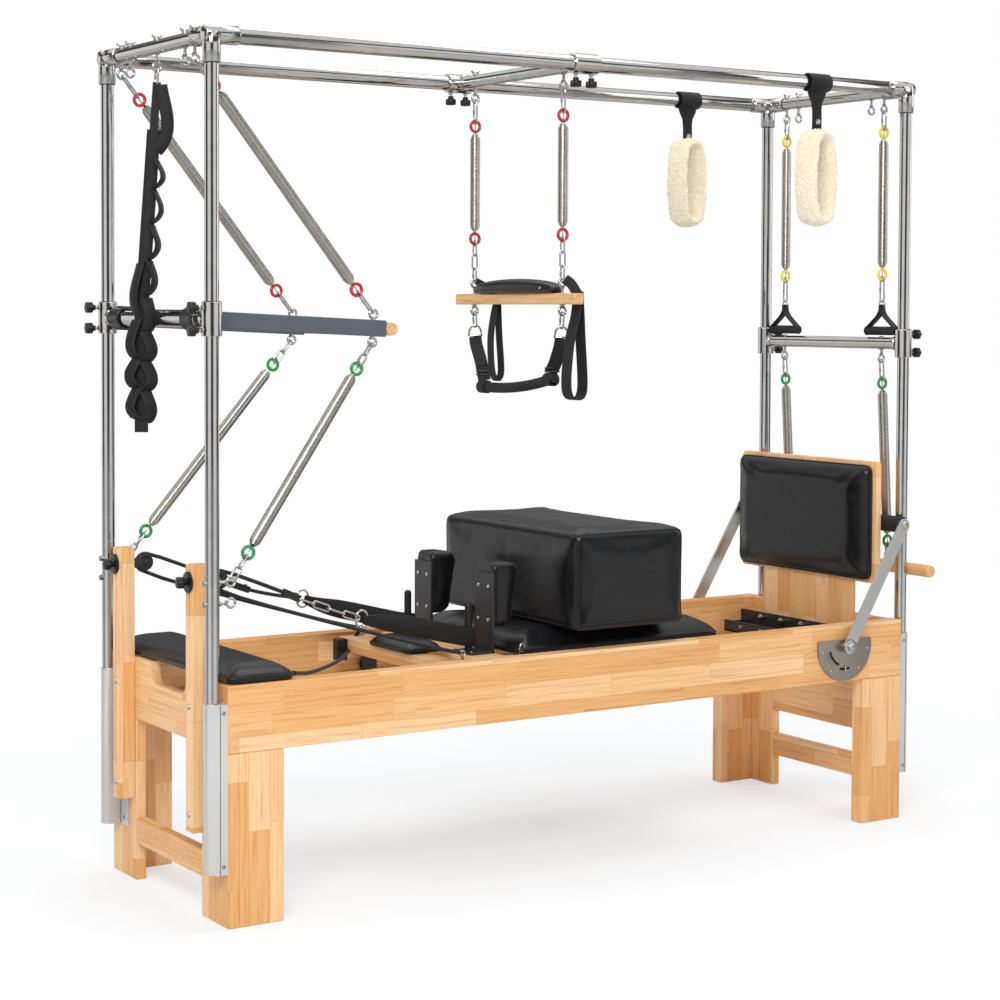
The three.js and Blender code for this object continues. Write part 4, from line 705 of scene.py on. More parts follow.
# Bed
def make_bed():
    ledge_width, ledge_bottom, ledge_top = 0.030, 0.454, 0.4725
    strip_width, strip_inset, strip_top = 0.022, 0.004, 0.4738
    for side, sign in SIDES:
        y = span(sign, BED_INNER, BED_SIDE)
        board = box((-BED_END, y[0], BED_TOP - SIDE_BOARD_HEIGHT), (BED_END, y[1], BED_TOP))
        node = f"{side}_side_board"
        piece(f"{side}_bed_side", [board], WOOD_X, "frame", [node], WOOD_EDGE)
        # The ledge that the carriage's wheels run on, with its steel strip
        ledge_end = BED_END - LEG_WIDTH
        y = span(sign, BED_INNER - ledge_width, BED_INNER)
        ledge = box((-ledge_end, y[0], ledge_bottom), (ledge_end, y[1], ledge_top))
        piece(f"{side}_track_ledge", [ledge], WOOD_X, "frame", edge=0.0015)
        y = span(sign, BED_INNER - strip_inset - strip_width, BED_INNER - strip_inset)
        strip = box((-ledge_end, y[0], ledge_top), (ledge_end, y[1], strip_top))
        piece(f"{side}_track_strip", [strip], BRUSHED, "frame", edge=0.0004)

    cross_half = BED_SIDE - LEG_WIDTH
    for end, sign in ENDS:
        x = span(sign, BED_END - END_BOARD_THICKNESS, BED_END)
        inner = BED_INNER - BOARD_GAP
        outline = [(-inner, LEG_TOP), (inner, LEG_TOP), (inner, END_BOARD_TOP)]
        if sign < 0:
            centre, low = NOTCH_HALF - NOTCH_CORNER, END_BOARD_TOP - NOTCH_DEPTH + NOTCH_CORNER
            outline += [(NOTCH_HALF, END_BOARD_TOP)]
            outline += arc(centre, low, NOTCH_CORNER, 0, -90, 8)
            outline += arc(-centre, low, NOTCH_CORNER, -90, -180, 8)
            outline += [(-NOTCH_HALF, END_BOARD_TOP)]
        outline += [(-inner, END_BOARD_TOP)]
        board = plate([outline], END_BOARD_THICKNESS, plane_at_x((x[0] + x[1]) / 2), WOOD_EDGE)
        piece(f"{end}_end_board", [board], WOOD_Y, "frame", [f"{end}_end_frame"])
        stretcher = box((x[0], -cross_half, STRETCHER[0]), (x[1], cross_half, STRETCHER[1]))
        piece(f"{end}_stretcher", [stretcher], WOOD_Y, "frame", edge=WOOD_EDGE)
        # Each leg is an L of two boards
        for side, y_sign in SIDES:
            y = span(y_sign, cross_half, BED_SIDE)
            flat = box((x[0], y[0], 0), (x[1], y[1], LEG_TOP))
            y = span(y_sign, BED_INNER, BED_SIDE)
            deep = span(sign, BED_END - LEG_WIDTH, BED_END - END_BOARD_THICKNESS)
            flank = box((deep[0], y[0], 0), (deep[1], y[1], LEG_TOP))
            for part, form in (("face", flat), ("flank", flank)):
                name = f"{end}_{side}_leg_{part}"
                piece(name, [form], WOOD_Z, "frame", edge=WOOD_EDGE)

    inside = BED_END - END_BOARD_THICKNESS
    apron = box((inside, -cross_half, APRON_BOTTOM), (BED_END, cross_half, LEG_TOP))
    piece("foot_apron", [apron], WOOD_Y, "frame", edge=WOOD_EDGE)
    # The shelf that the jump board stands on, and the guides on either side of its neck
    neck_half, guide_width = 0.200, 0.050
    shelf_front, shelf_top, shelf_thickness, guide_front = 0.999, 0.4557, 0.016, 1.0513
    shelf_low = (shelf_front, -neck_half, shelf_top - shelf_thickness)
    forms = [box(shelf_low, (inside, neck_half, shelf_top))]
    for sign in (NEAR, FAR):
        y = span(sign, neck_half - guide_width, neck_half)
        forms.append(box((guide_front, y[0], shelf_top), (inside, y[1], END_BOARD_TOP)))
    piece("jump_board_shelf", forms, WOOD_Y, "frame", edge=0.0015)


# Canopy
def make_posts():
    nut_radius, inner_nut, outer_nut, stud_end = 0.0078, 0.006, 0.0085, 0.0098
    post_top = RAIL_HEIGHT - SLEEVE_DROP + TUBE_SEAT
    for end, x_sign in ENDS:
        for side, y_sign in SIDES:
            x, y = x_sign * POST_X, y_sign * POST_Y
            shaft = rod((x, y, BRACKET_BOTTOM), (x, y, post_top), POST_RADIUS, TUBE_SIDES)
            name = f"{end}_{side}_post"
            piece(f"{name}_tube", [shaft], CHROME, "frame", [name])
            if x_sign < 0:
                forms = []
                front, back = x + POST_RADIUS, x - POST_RADIUS
                for z in POST_EYE_HEIGHTS:
                    forms += eye((x + POST_EYE_REACH, y, z), (front - SUNK, y, z))
                    forms.append(hex_nut((front - SUNK / 2, y, z), (1, 0, 0), nut_radius, inner_nut))
                    forms.append(hex_nut((back + SUNK / 2, y, z), (-1, 0, 0), nut_radius, outer_nut))
                    forms.append(rod((back, y, z), (back - stud_end, y, z), STUD_RADIUS, STUD_SIDES))
                piece(f"{side}_post_eyebolts", forms, CHROME, "frame")
            make_bracket(end, side, x_sign, y_sign)


def make_bracket(end, side, x_sign, y_sign):
    """A hat-shaped extrusion round the post, screwed to the end face and to the flank of the bed."""
    x, y = x_sign * POST_X, y_sign * POST_Y
    wall, bore, flange, inset = 0.0034, POST_RADIUS + 0.0003, 0.070, 0.002
    bulge = bore + wall
    face = POST_X - BED_END - BOARD_GAP
    wall_line = BED_SIDE - POST_Y - inset
    outline = [(face, wall_line), (0, wall_line), *arc(0, 0, bulge, 120, 270, 24)]
    outline += [(face - wall, -bulge), (face - wall, -flange), (face, -flange)]
    hole = arc(0, 0, bore, 0, 345, 23)
    flip = lambda points: [(-x_sign * u, y_sign * w) for u, w in points]
    place = Matrix.Translation((x, y, BRACKET_BOTTOM + BRACKET_LENGTH / 2))
    sleeve = plate([flip(outline), flip(hole)], BRACKET_LENGTH, place, 0.0006)
    piece(
        f"{end}_{side}_bracket_sleeve", [sleeve], ALUMINIUM, "frame", [f"{end}_{side}_post_bracket"],
        sharp=30,
    )
    # Painted shadow lines: dark strips along the bracket where the round channel leaves its two flanges,
    # standing in for the shade there
    low, high = BRACKET_BOTTOM + 0.001, BRACKET_BOTTOM + BRACKET_LENGTH - 0.001
    proud, line, flank_u = 0.0003, 0.0007, 0.006
    corner = flip([(face - wall - proud, -bulge - 3 * line), (face, -bulge - line)])
    flank = flip([(flank_u - line, wall_line), (flank_u + line, wall_line + proud)])
    painted_shadow_strips = []
    for (ax, ay), (bx, by) in (corner, flank):
        (ax, bx), (ay, by) = sorted((x + ax, x + bx)), sorted((y + ay, y + by))
        painted_shadow_strips.append(box((ax, ay, low), (bx, by, high)))
    piece(f"{end}_{side}_bracket_grooves", painted_shadow_strips, RUBBER_AND_PAINTED_SHADE, "frame")
    heads = []
    face_x = x_sign * (BED_END + BOARD_GAP + wall)
    for share in (0.05, 0.35, 0.65, 0.95):
        z = BRACKET_BOTTOM + BRACKET_LENGTH * share
        heads.append(screw((face_x, y - y_sign * (flange + bulge) / 2, z), (x_sign, 0, 0), 0.0055, 0.004))
    flank_x = x - x_sign * face * 0.55
    for share in (0.05, 0.95):
        z = BRACKET_BOTTOM + BRACKET_LENGTH * share
        heads.append(screw((flank_x, y_sign * (BED_SIDE - inset), z), (0, y_sign, 0), 0.005, 0.0035))
    piece(f"{end}_{side}_bracket_screws", heads, ZINC, "frame")


def make_rails():
    seal, seal_radius = 0.0022, POST_RADIUS + 0.0012
    crown, shoulder_reach, shoulder_radius = 0.72, 0.068, SLEEVE_RADIUS + 0.0004
    along_screw, drop_screw, side_screw = 0.045, 0.018, 0.055
    z = RAIL_HEIGHT
    for side, sign in SIDES:
        y = sign * POST_Y
        tube_end = POST_X + SLEEVE_RADIUS
        forms = [rod((-tube_end, y, z), (tube_end, y, z), RAIL_RADIUS, TUBE_SIDES, 0.004)]
        seals, screws = [], []
        for x_sign in (-1, 1):
            x = x_sign * POST_X
            low = z - SLEEVE_DROP
            reach = sign * (POST_Y - SLEEVE_REACH)
            # The corner fitting: sleeves down, across and along, and a knuckle where they meet
            for a, b, radius in (
                ((x, y, low), (x, y, z + SLEEVE_RADIUS * crown), SLEEVE_RADIUS),
                ((x, y, z), (x, reach, z), SLEEVE_RADIUS),
                ((x, y, z), (x - x_sign * shoulder_reach, y, z), shoulder_radius),
            ):
                forms.append(rod(a, b, radius, TUBE_SIDES, 0.0015))
            knuckle = [
                (SLEEVE_RADIUS * math.cos(t), SLEEVE_RADIUS * math.sin(t))
                for t in np.linspace(-1.5, 1.5, 15)
            ]
            forms.append(turned(knuckle, (x, y, z), (0, 0, 1), TUBE_SIDES))
            seals.append(rod((x, y, low - seal), (x, y, low), seal_radius, 40, PLAY))
            seals.append(rod((x, reach, z), (x, reach - sign * seal, z), seal_radius, 40, PLAY))
            for at, out in (
                ((x - x_sign * along_screw, y + sign * (SLEEVE_RADIUS + 0.0002), z), (0, sign, 0)),
                ((x, y + sign * SLEEVE_RADIUS, low + drop_screw), (0, sign, 0)),
                ((x + x_sign * SLEEVE_RADIUS, y - sign * side_screw, z), (x_sign, 0, 0)),
            ):
                screws.append(screw(at, out, 0.0035, 0.0018))
        node = f"{side}_top_rail"
        piece(f"{side}_long_rail", forms, CHROME, "frame", [node], sharp=50)
        piece(f"{side}_rail_seals", seals, RUBBER_AND_PAINTED_SHADE, "frame")
        piece(f"{side}_rail_screws", screws, ZINC, "frame")
    for end, x_sign, extra in (("head", -1, [0.0]), ("foot", 1, [])):
        x = x_sign * POST_X
        half = POST_Y - SLEEVE_REACH + TUBE_SEAT
        forms = [rod((x, -half, z), (x, half, z), POST_RADIUS, TUBE_SIDES)]
        for y in (-EYE_LINE, -SPARE_EYE_LINE, *extra, SPARE_EYE_LINE, EYE_LINE):
            forms += hanging_eye(x, y, z, EYE_HEIGHT)
        piece(f"{end}_end_rail", forms, CHROME, "frame", [f"{end}_top_rail"])


def hanging_eye(x, y, tube_height, eye_height, winged=True):
    """An eyebolt down through a cross tube, with a washer under it and a nut on top."""
    top, under = tube_height + POST_RADIUS, tube_height - POST_RADIUS
    forms = eye((x, y, eye_height), (x, y, under))
    forms.append(disc((x, y, under + 0.0006), (0, 0, -1), 0.0086, 0.0024, 0.0006, 0.0008))
    if winged:
        forms += wing_nut((x, y, top - SUNK))
    else:
        cap = [(0.0078, 0), (0.0078, 0.0022), (0.006, 0.0038), (0.003, 0.0042)]
        forms.append(turned(cap, (x, y, top - 0.0008), (0, 0, 1), 20))
    return forms


def clamping_knob(at, out, stud_length, nut_radius, knob_start, knob_radius):
    """What tightens a clamp: its stud with a nut, and the star knob on it."""
    at, out = Vector(at), Vector(out)
    stud = rod(at, at + out * stud_length, STUD_RADIUS, STUD_SIDES)
    knob = star_knob(at + out * knob_start, out, knob_radius, 0.025)
    return [stud, hex_nut(at, out, nut_radius, 0.005)], [knob]


def make_crossbars():
    clamp_radius, clamp_half, knob_gap, neck_radius, neck_length = 0.025, 0.041, 0.027, 0.021, 0.014
    wall = 0.003
    for name, x_sign, height, body in (
        ("head_crossbar", -1, HEAD_BAR_HEIGHT, "frame"),
        ("foot_crossbar", 1, FOOT_BAR_HEIGHT, "foot_crossbar"),
    ):
        x = x_sign * POST_X
        forms, studs, knobs, seals = [], [], [], []
        for sign in (NEAR, FAR):
            y = sign * POST_Y
            top = height + clamp_half
            forms.append(tube((x, y, height - clamp_half), (x, y, top), clamp_radius, POST_RADIUS + PLAY))
            inner_face = y - sign * (clamp_radius - wall)
            neck_end = inner_face - sign * neck_length
            forms.append(rod((x, inner_face, height), (x, neck_end, height), neck_radius, 40, 0.0015))
            rim = (clamp_radius - wall, POST_RADIUS + 0.0002, 40, PLAY)
            seals.append(tube((x, y, top), (x, y, top + 0.0018), *rim))
            for rise in (-knob_gap, knob_gap):
                start = (x + x_sign * (clamp_radius - SUNK), y, height + rise)
                stud, knob = clamping_knob(start, (x_sign, 0, 0), 0.016, 0.0075, 0.013, 0.0155)
                studs += stud
                knobs += knob
        inner_half = POST_Y - clamp_radius + SUNK
        forms.append(rod((x, -inner_half, height), (x, inner_half, height), POST_RADIUS, TUBE_SIDES))
        if x_sign > 0:
            for y in (-EYE_LINE, EYE_LINE):
                forms += hanging_eye(x, y, height, FOOT_EYE_HEIGHT, winged=False)
        piece(f"{name}_tube", forms, CHROME, body, [name])
        piece(f"{name}_seals", seals, RUBBER_AND_PAINTED_SHADE, body)
        piece(f"{name}_studs", studs, ZINC, body)
        piece(f"{name}_knobs", knobs, BLACK_PLASTIC, body)

    # The trapeze crossbar clamps the long rails and slides along them
    forms, studs, knobs = [], [], []
    x, z, half, knob_gap = TRAPEZE_X, RAIL_HEIGHT, 0.040, 0.025
    clamp_radius, neck_start, neck_end, neck_radius = 0.027, 0.0245, 0.042, 0.0215
    for sign in (NEAR, FAR):
        y = sign * POST_Y
        forms.append(tube((x - half, y, z), (x + half, y, z), clamp_radius, RAIL_RADIUS + PLAY))
        ends = [(x, y - sign * reach, z) for reach in (neck_start, neck_end)]
        forms.append(rod(*ends, neck_radius, 40, 0.0015))
        for along in (-knob_gap, knob_gap):
            start = (x + along, y, z - clamp_radius + SUNK / 2)
            stud, knob = clamping_knob(start, (0, 0, -1), 0.012, 0.0072, 0.0105, 0.0160)
            studs += stud
            knobs += knob
    inner_half = POST_Y - clamp_radius + SUNK
    forms.append(rod((x, -inner_half, z), (x, inner_half, z), POST_RADIUS, TUBE_SIDES))
    for y in (-EYE_LINE, EYE_LINE):
        forms += hanging_eye(x, y, z, EYE_HEIGHT)
    name = "trapeze_crossbar"
    piece(f"{name}_tube", forms, CHROME, name, [name])
    piece(f"{name}_studs", studs, ZINC, name)
    piece(f"{name}_knobs", knobs, BLACK_PLASTIC, name)


# Push-through bar, drawn level about its axle and then tilted
PUSH_PLACE = Matrix.Translation((-POST_X, 0, HEAD_BAR_HEIGHT)) @ Matrix.Rotation(PUSH_TILT, 4, "Y")
PUSH_EYE_REACH, PUSH_EYE_RISE = 0.497, 0.036
PUSH_ARM_LENGTH, PUSH_ARM_HALF_HEIGHT, PUSH_ARM_HALF_WIDTH = 0.530, 0.021, 0.013


def make_push_bar():
    collar_half, collar_radius, sleeve_radius, block_half = 0.031, 0.030, 0.0225, 0.031
    block_x, arm_start = (-0.012, 0.036), 0.030
    half_height, half_width = PUSH_ARM_HALF_HEIGHT, PUSH_ARM_HALF_WIDTH
    sleeve_half = EYE_LINE + collar_half
    arms, collars, bolts = [], [], []
    sleeve = tube((0, -sleeve_half, 0), (0, sleeve_half, 0), sleeve_radius, POST_RADIUS + 2 * PLAY)
    for sign in (NEAR, FAR):
        y = sign * EYE_LINE
        y0, y1 = y - half_width, y + half_width
        ends = [(0, y + way * collar_half, 0) for way in (-1, 1)]
        collars.append(tube(*ends, collar_radius, sleeve_radius - 0.0001, TUBE_SIDES, 0.003))
        collars.append(box((block_x[0], y0, -block_half), (block_x[1], y1, block_half)))
        arms.append(box((arm_start, y0, -half_height), (PUSH_ARM_LENGTH, y1, half_height)))
        for up in (-1, 1):
            face = up * half_height
            bolts += eye((PUSH_EYE_REACH, y, up * PUSH_EYE_RISE), (PUSH_EYE_REACH, y, face))
            bolts.append(hex_nut((PUSH_EYE_REACH, y, face), (0, 0, up), 0.007, 0.004))
            bolts.append(screw((0.014, y + sign * half_width, up * 0.024), (0, sign, 0), 0.004, 0.003))
    tilt = lambda forms: [moved(form, PUSH_PLACE) for form in forms]
    body = "push_bar"
    piece("push_bar_arms", tilt(arms), SLATE, body, ["push_bar_frame"], 0.0022)
    piece("push_bar_sleeve", tilt([sleeve]), CHROME, body)
    piece("push_bar_collars", tilt(collars), BLACK_PAINT, body, edge=0.0012)
    piece("push_bar_eyes", tilt(bolts), CHROME, body)
    grip_half, grip_radius = EYE_LINE + half_width, 0.017
    grip_x = PUSH_ARM_LENGTH + grip_radius + PLAY
    grip = rod((grip_x, -grip_half, 0), (grip_x, grip_half, 0), grip_radius, TUBE_SIDES, 0.003)
    piece("push_bar_wood_grip", tilt([grip]), DOWEL, body, ["push_bar_grip"])


# Springs
def coil_form(a, b, length, start):
    """Close turns of wire about the line from a to b, drawn in at both ends, with straight stems."""
    along = (b - a).normalized()
    turn = along.to_track_quat("Z", "Y").to_matrix()
    turns = int(length / SPRING_PITCH)
    per_turn, wire_sides = 16, 6
    count = turns * per_turn + 1
    share = np.arange(count) / (count - 1)
    angle = 2 * math.pi * np.arange(count) / per_turn
    height = share * length
    near_end = np.minimum(height, length - height) / SPRING_TAPER
    ease = np.sin(np.clip(near_end, 0, 1) * math.pi / 2)
    radius = SPRING_TIP_RADIUS + (SPRING_RADIUS - SPRING_GROOVE - SPRING_TIP_RADIUS) * ease
    rings = []
    origin = a + along * start
    wire_turn = circle_angles(wire_sides)
    rise = SPRING_PITCH / 1.9
    for angle_here, radius_here, height_here in zip(angle, radius, height):
        out = Vector((math.cos(angle_here), math.sin(angle_here), 0))
        ring = []
        for t in wire_turn:
            local = out * (radius_here + SPRING_GROOVE * math.cos(t))
            local.z = height_here + rise * math.sin(t)
            ring.append(origin + turn @ local)
        rings.append(ring)
    return rings_to_form(rings)


def stem_form(tip, ring_middle, along):
    """The wire that leaves the last turns and closes round the coloured ring."""
    hook = RING_WIRE + 0.0016
    rim = ring_middle + along * RING_RADIUS
    axis = along.cross(Vector((0, 1, 0)))
    return [
        rod(tip, rim + along * hook, STEM_WIRE, 10),
        hoop(rim, axis, hook, STEM_WIRE, sides=20, wire_sides=8),
    ]


def link_chain(a, b, reach):
    """Links from the eye at a to the ring at b: a snap hook, and chain links where the way is longer."""
    a, b = Vector(a), Vector(b)
    along = (b - a).normalized()
    across = Vector((0, 1, 0))
    count = max(1, round((b - a).length / reach))
    pitch = (b - a).length / count
    width = min(LINK_HALF_WIDTH, (pitch + 2 * LINK_WIRE) / 2.2)
    stretch = max(0, pitch + 2 * LINK_WIRE - 2 * LINK_HALF_WIDTH) + 2 * (LINK_HALF_WIDTH - width)
    radius = width - LINK_WIRE * 0.2
    forms = []
    for i in range(count):
        middle = a + along * pitch * (i + 0.5)
        # Each link lies square to the one before it
        axis = across if i % 2 else along.cross(across)
        forms.append(hoop(middle, axis, radius, LINK_WIRE, stretch, along))
    # The hook's closing sleeve is on the last link
    gate, half = middle + axis.cross(along).normalized() * radius, along * 0.006
    forms.append(rod(gate - half, gate + half, LINK_WIRE * 1.35, 14))
    return forms


def make_spring(name, a, b, length, share, colour, ride_on, hooked_low=True, bend=None):
    """A spring from the eye at a to the eye at b, with a link chain and a coloured ring at its ends."""
    a, b = Vector(a), Vector(b)
    along = (b - a).normalized()
    start = ((b - a).length - length) * share
    tip = a + along * start
    low_tip = tip + along * length
    ring_top = tip - along * (STEM_LENGTH + RING_RADIUS)
    ring_low = low_tip + along * (STEM_LENGTH + RING_RADIUS)
    # A link lies against the inside of the eye at one end, and of the ring at the other
    in_eye = along * (EYE_RADIUS - EYE_WIRE - LINK_WIRE)
    in_ring = along * (RING_RADIUS - RING_WIRE - LINK_WIRE)
    stem_depth, link_reach = along * 0.004, 0.046
    coil = [coil_form(a, b, length, start)]
    coil += stem_form(tip + stem_depth, ring_top, -along) + stem_form(low_tip - stem_depth, ring_low, along)
    links = link_chain(a + in_eye, ring_top - in_ring, link_reach)
    if hooked_low:
        links += link_chain(ring_low + in_ring, b - in_eye, link_reach)
    rings = [hoop(middle, (0, 1, 0), RING_RADIUS, RING_WIRE) for middle in (ring_top, ring_low)]
    made = [
        piece(f"{name}_coil", coil, SPRING_STEEL, ride_on, [name], sharp=80),
        piece(f"{name}_links", links, CHROME, ride_on),
        piece(f"{name}_rings", rings, colour, ride_on),
    ]
    if bend:
        for each in made:
            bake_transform(each)
    return made


def push_eye(y_sign, up):
    return PUSH_PLACE @ Vector((PUSH_EYE_REACH, y_sign * EYE_LINE, up * PUSH_EYE_RISE))


def make_springs():
    for side, sign in SIDES:
        y = sign * EYE_LINE
        post_eye = (-POST_X + POST_EYE_REACH, sign * POST_Y, POST_EYE_HEIGHTS[0])
        bar_eye = (TRAPEZE_X, y, TRAPEZE_BAR_HEIGHT + TRAPEZE_EYE_RISE)
        roll_eye = (ROLL_BAR_X, y, ROLL_BAR_Z + ROLL_EYE_RISE)
        top, low = push_eye(sign, 1), push_eye(sign, -1)
        # Name, its two eyes, coil length, share of the free length above, colour, body, or its two bodies
        for name, a, b, length, share, colour, ride_on, bend in (
            ("upper_push", (-POST_X, y, EYE_HEIGHT), top, 0.589, 0.5, RED, None, ("frame", "push_bar")),
            ("lower_push", low, post_eye, 0.520, 0.5, GREEN, None, ("push_bar", "frame")),
            ("trapeze", (TRAPEZE_X, y, EYE_HEIGHT), bar_eye, 0.277, 0.4, RED, "trapeze", None),
            ("roll_down", (POST_X, y, FOOT_EYE_HEIGHT), roll_eye, 0.433, 0.6, GREEN, "roll_bar", None),
        ):
            make_spring(f"{side}_{name}_spring", a, b, length, share, colour, ride_on, bend=bend)


# Trapeze
def bar_eyes(x, y, height, up, down):
    """The two eyes of the trapeze bar at one place, each on its washer."""
    forms = []
    for sign, reach in ((1, up), (-1, down)):
        face = height + sign * TRAPEZE_BAR_RADIUS
        forms += eye((x, y, height + sign * reach), (x, y, face - sign * SUNK))
    for sign in (-1, 1):
        at = (x, y, height + sign * (TRAPEZE_BAR_RADIUS - SUNK / 2))
        forms.append(disc(at, (0, 0, sign), 0.0095, 0.002, 0.0006, 0.001))
    return forms


def make_trapeze():
    low_eye = TRAPEZE_EYE_RISE / 2 + EYE_RADIUS
    r = TRAPEZE_BAR_RADIUS
    bar = box(
        (TRAPEZE_X - r, -TRAPEZE_BAR_HALF, TRAPEZE_BAR_HEIGHT - r),
        (TRAPEZE_X + r, TRAPEZE_BAR_HALF, TRAPEZE_BAR_HEIGHT + r),
    )
    piece("trapeze_wood_bar", [bar], DOWEL, "trapeze", ["trapeze_bar"], 0.0035)
    forms = []
    for sign in (-1, 1):
        forms += bar_eyes(TRAPEZE_X, sign * EYE_LINE, TRAPEZE_BAR_HEIGHT, TRAPEZE_EYE_RISE, low_eye)
    piece("trapeze_bar_eyes", forms, CHROME, "trapeze")

    # Sling: hooks, D-rings, webbing and a foam grip that sags between them
    ring_low, ring_half, ring_rise, ring_wire = TRAPEZE_BAR_HEIGHT - 0.104, 0.0185, 0.030, 0.003
    top_line, low_line, grip_half, grip_radius = 0.2165, 0.166, 0.187, 0.0145
    strap_width, strap_thickness = 0.036, 0.0036
    def grip_height(y):
        """The grip sags a little and hangs higher on the near side."""
        share, middle, sag, tilt = y / grip_half, 1.283, 0.014, 0.017
        return middle + sag * share ** 2 - tilt * share

    hooks, straps, slides = [], [], []
    for sign in (-1, 1):
        hook_top = Vector((TRAPEZE_X, sign * EYE_LINE, TRAPEZE_BAR_HEIGHT - low_eye - 0.005))
        hooks += link_chain(hook_top, (TRAPEZE_X, sign * top_line, ring_low + ring_rise - 0.004), 0.05)
        hooks.append(d_ring((TRAPEZE_X, sign * top_line, ring_low), ring_half, ring_rise, ring_wire))
        end = grip_height(sign * low_line) + grip_radius + strap_thickness
        rows = [
            (top_line, ring_low - 0.003), (top_line - 0.008, 1.394), (low_line + 0.020, 1.352),
            (low_line, end),
        ]
        path = smooth_path([(TRAPEZE_X, sign * y, z) for y, z in rows], 24)
        doubled = [p - TURNED_SQUARE * (strap_thickness + 0.0004) for p in path[:-6]]
        for way in (path, doubled):
            straps.append(swept(way, strap_section(strap_width, strap_thickness), up=TURNED_SQUARE))
        around = grip_radius + 0.0004 + strap_thickness / 2
        middle = grip_height(sign * low_line)
        cuff = [
            (TRAPEZE_X + around * math.cos(t), sign * low_line, middle + around * math.sin(t))
            for t in circle_angles(28)
        ]
        straps.append(turn_section(cuff, strap_width, strap_thickness))
        for rise in (-0.005, 0.005):
            at = path[-4] - TURNED_SQUARE * 0.0045 + Vector((0, 0, rise))
            reach = TURNED_ACROSS * (strap_width / 2 + 0.003)
            slides.append(rod(at - reach, at + reach, 0.0022, 12))
    piece("sling_hooks", hooks, CHROME, "trapeze", ["trapeze_sling"])
    sling = piece("sling_straps", straps, WEBBING, "trapeze")
    piece("sling_slides", slides, BLACK_PAINT, "trapeze")
    grip_path = [(TRAPEZE_X, y, grip_height(y)) for y in np.linspace(-grip_half, grip_half, 33)]
    grip = piece(
        "sling_foam_grip", [swept(grip_path, circle(grip_radius, 28))], FOAM, "trapeze", edge=0.003,
        sharp=50,
    )

    # Loops of webbing behind the bar: the near one and the spare one on the far side
    for name, rows, tail, width, replaced in (
        ("near_trapeze_loop", NEAR_LOOP, NEAR_LOOP_TAIL, 0.046, ["trapeze_near_loop"]),
        ("far_trapeze_loop", FAR_LOOP, FAR_LOOP_TAIL, 0.032, []),
    ):
        out = [[Vector((TRAPEZE_X + dx, y, z)) for dx, y, z in points] for points in (rows, tail)]
        path = smooth_path([*out[0], out[0][0]], 70)[:-1]
        tail_path = smooth_path(out[1], 16)
        forms = [turn_section(path, width, strap_thickness)]
        forms.append(swept(tail_path, strap_section(width * 0.6, 0.003), up=TURNED_SQUARE))
        loop = piece(name, forms, WEBBING, "trapeze", replaced, sharp=50)


# Rows of the webbing loops on the trapeze: distance behind the bar's middle, place along it, height
NEAR_LOOP = [
    (0.0190, -0.262, 1.545), (0.0185, -0.264, 1.520), (0.010, -0.268, 1.480), (-0.010, -0.272, 1.420),
    (-0.023, -0.276, 1.340), (-0.026, -0.279, 1.290), (-0.018, -0.280, 1.266), (0.0, -0.281, 1.2585),
    (0.018, -0.280, 1.266), (0.026, -0.279, 1.290), (0.027, -0.276, 1.340), (0.024, -0.272, 1.420),
    (0.0235, -0.268, 1.480), (0.0235, -0.264, 1.520), (0.0235, -0.262, 1.545),
]
NEAR_LOOP_TAIL = [(0.002, -0.228, 1.582), (0.013, -0.243, 1.568), (0.021, -0.262, 1.540)]
FAR_LOOP = [
    (0.0190, 0.136, 1.535), (0.0185, 0.134, 1.520), (0.006, 0.130, 1.480), (-0.008, 0.122, 1.420),
    (-0.014, 0.110, 1.350), (-0.012, 0.103, 1.315), (0.0, 0.101, 1.2985), (0.014, 0.104, 1.315),
    (0.020, 0.112, 1.350), (0.022, 0.124, 1.420), (0.0235, 0.131, 1.480), (0.0235, 0.134, 1.520),
    (0.0235, 0.136, 1.535),
]
FAR_LOOP_TAIL = [(0.002, 0.222, 1.582), (0.019, 0.185, 1.562), (0.021, 0.138, 1.532)]


def d_ring(centre, half, rise, wire):
    """A D-shaped wire ring that stands on its straight side, turned to face about halfway round."""
    centre = Vector(centre)
    path = [
        centre + TURNED_ACROSS * half * math.cos(t) + Vector((0, 0, rise * math.sin(t)))
        for t in np.linspace(0, math.pi, 21)
    ]
    path += [centre - TURNED_ACROSS * half * share for share in (0.8, 0.0, -0.8)]
    return swept(path, circle(wire, 10), up=TURNED_SQUARE, closed=True)


def smooth_path(points, count):
    """A Catmull-Rom curve through the points."""
    points = [Vector(p) for p in points]
    padded = [2 * points[0] - points[1], *points, 2 * points[-1] - points[-2]]
    path = []
    spans = len(points) - 1
    for i in range(count + 1):
        t = i / count * spans
        k = min(int(t), spans - 1)
        u = t - k
        p0, p1, p2, p3 = padded[k : k + 4]
        path.append(
            0.5 * (
                2 * p1 + (p2 - p0) * u + (2 * p0 - 5 * p1 + 4 * p2 - p3) * u * u + (
                    3 * p1 - p0 - 3 * p2 + p3
                ) * u ** 3
            )
        )
    return path


def turn_section(path, width, thickness):
    """Webbing whose width lies along Y while it runs in the XZ plane."""
    return swept(path, flat_section(width, thickness), up=(0, 1, 0), closed=True)


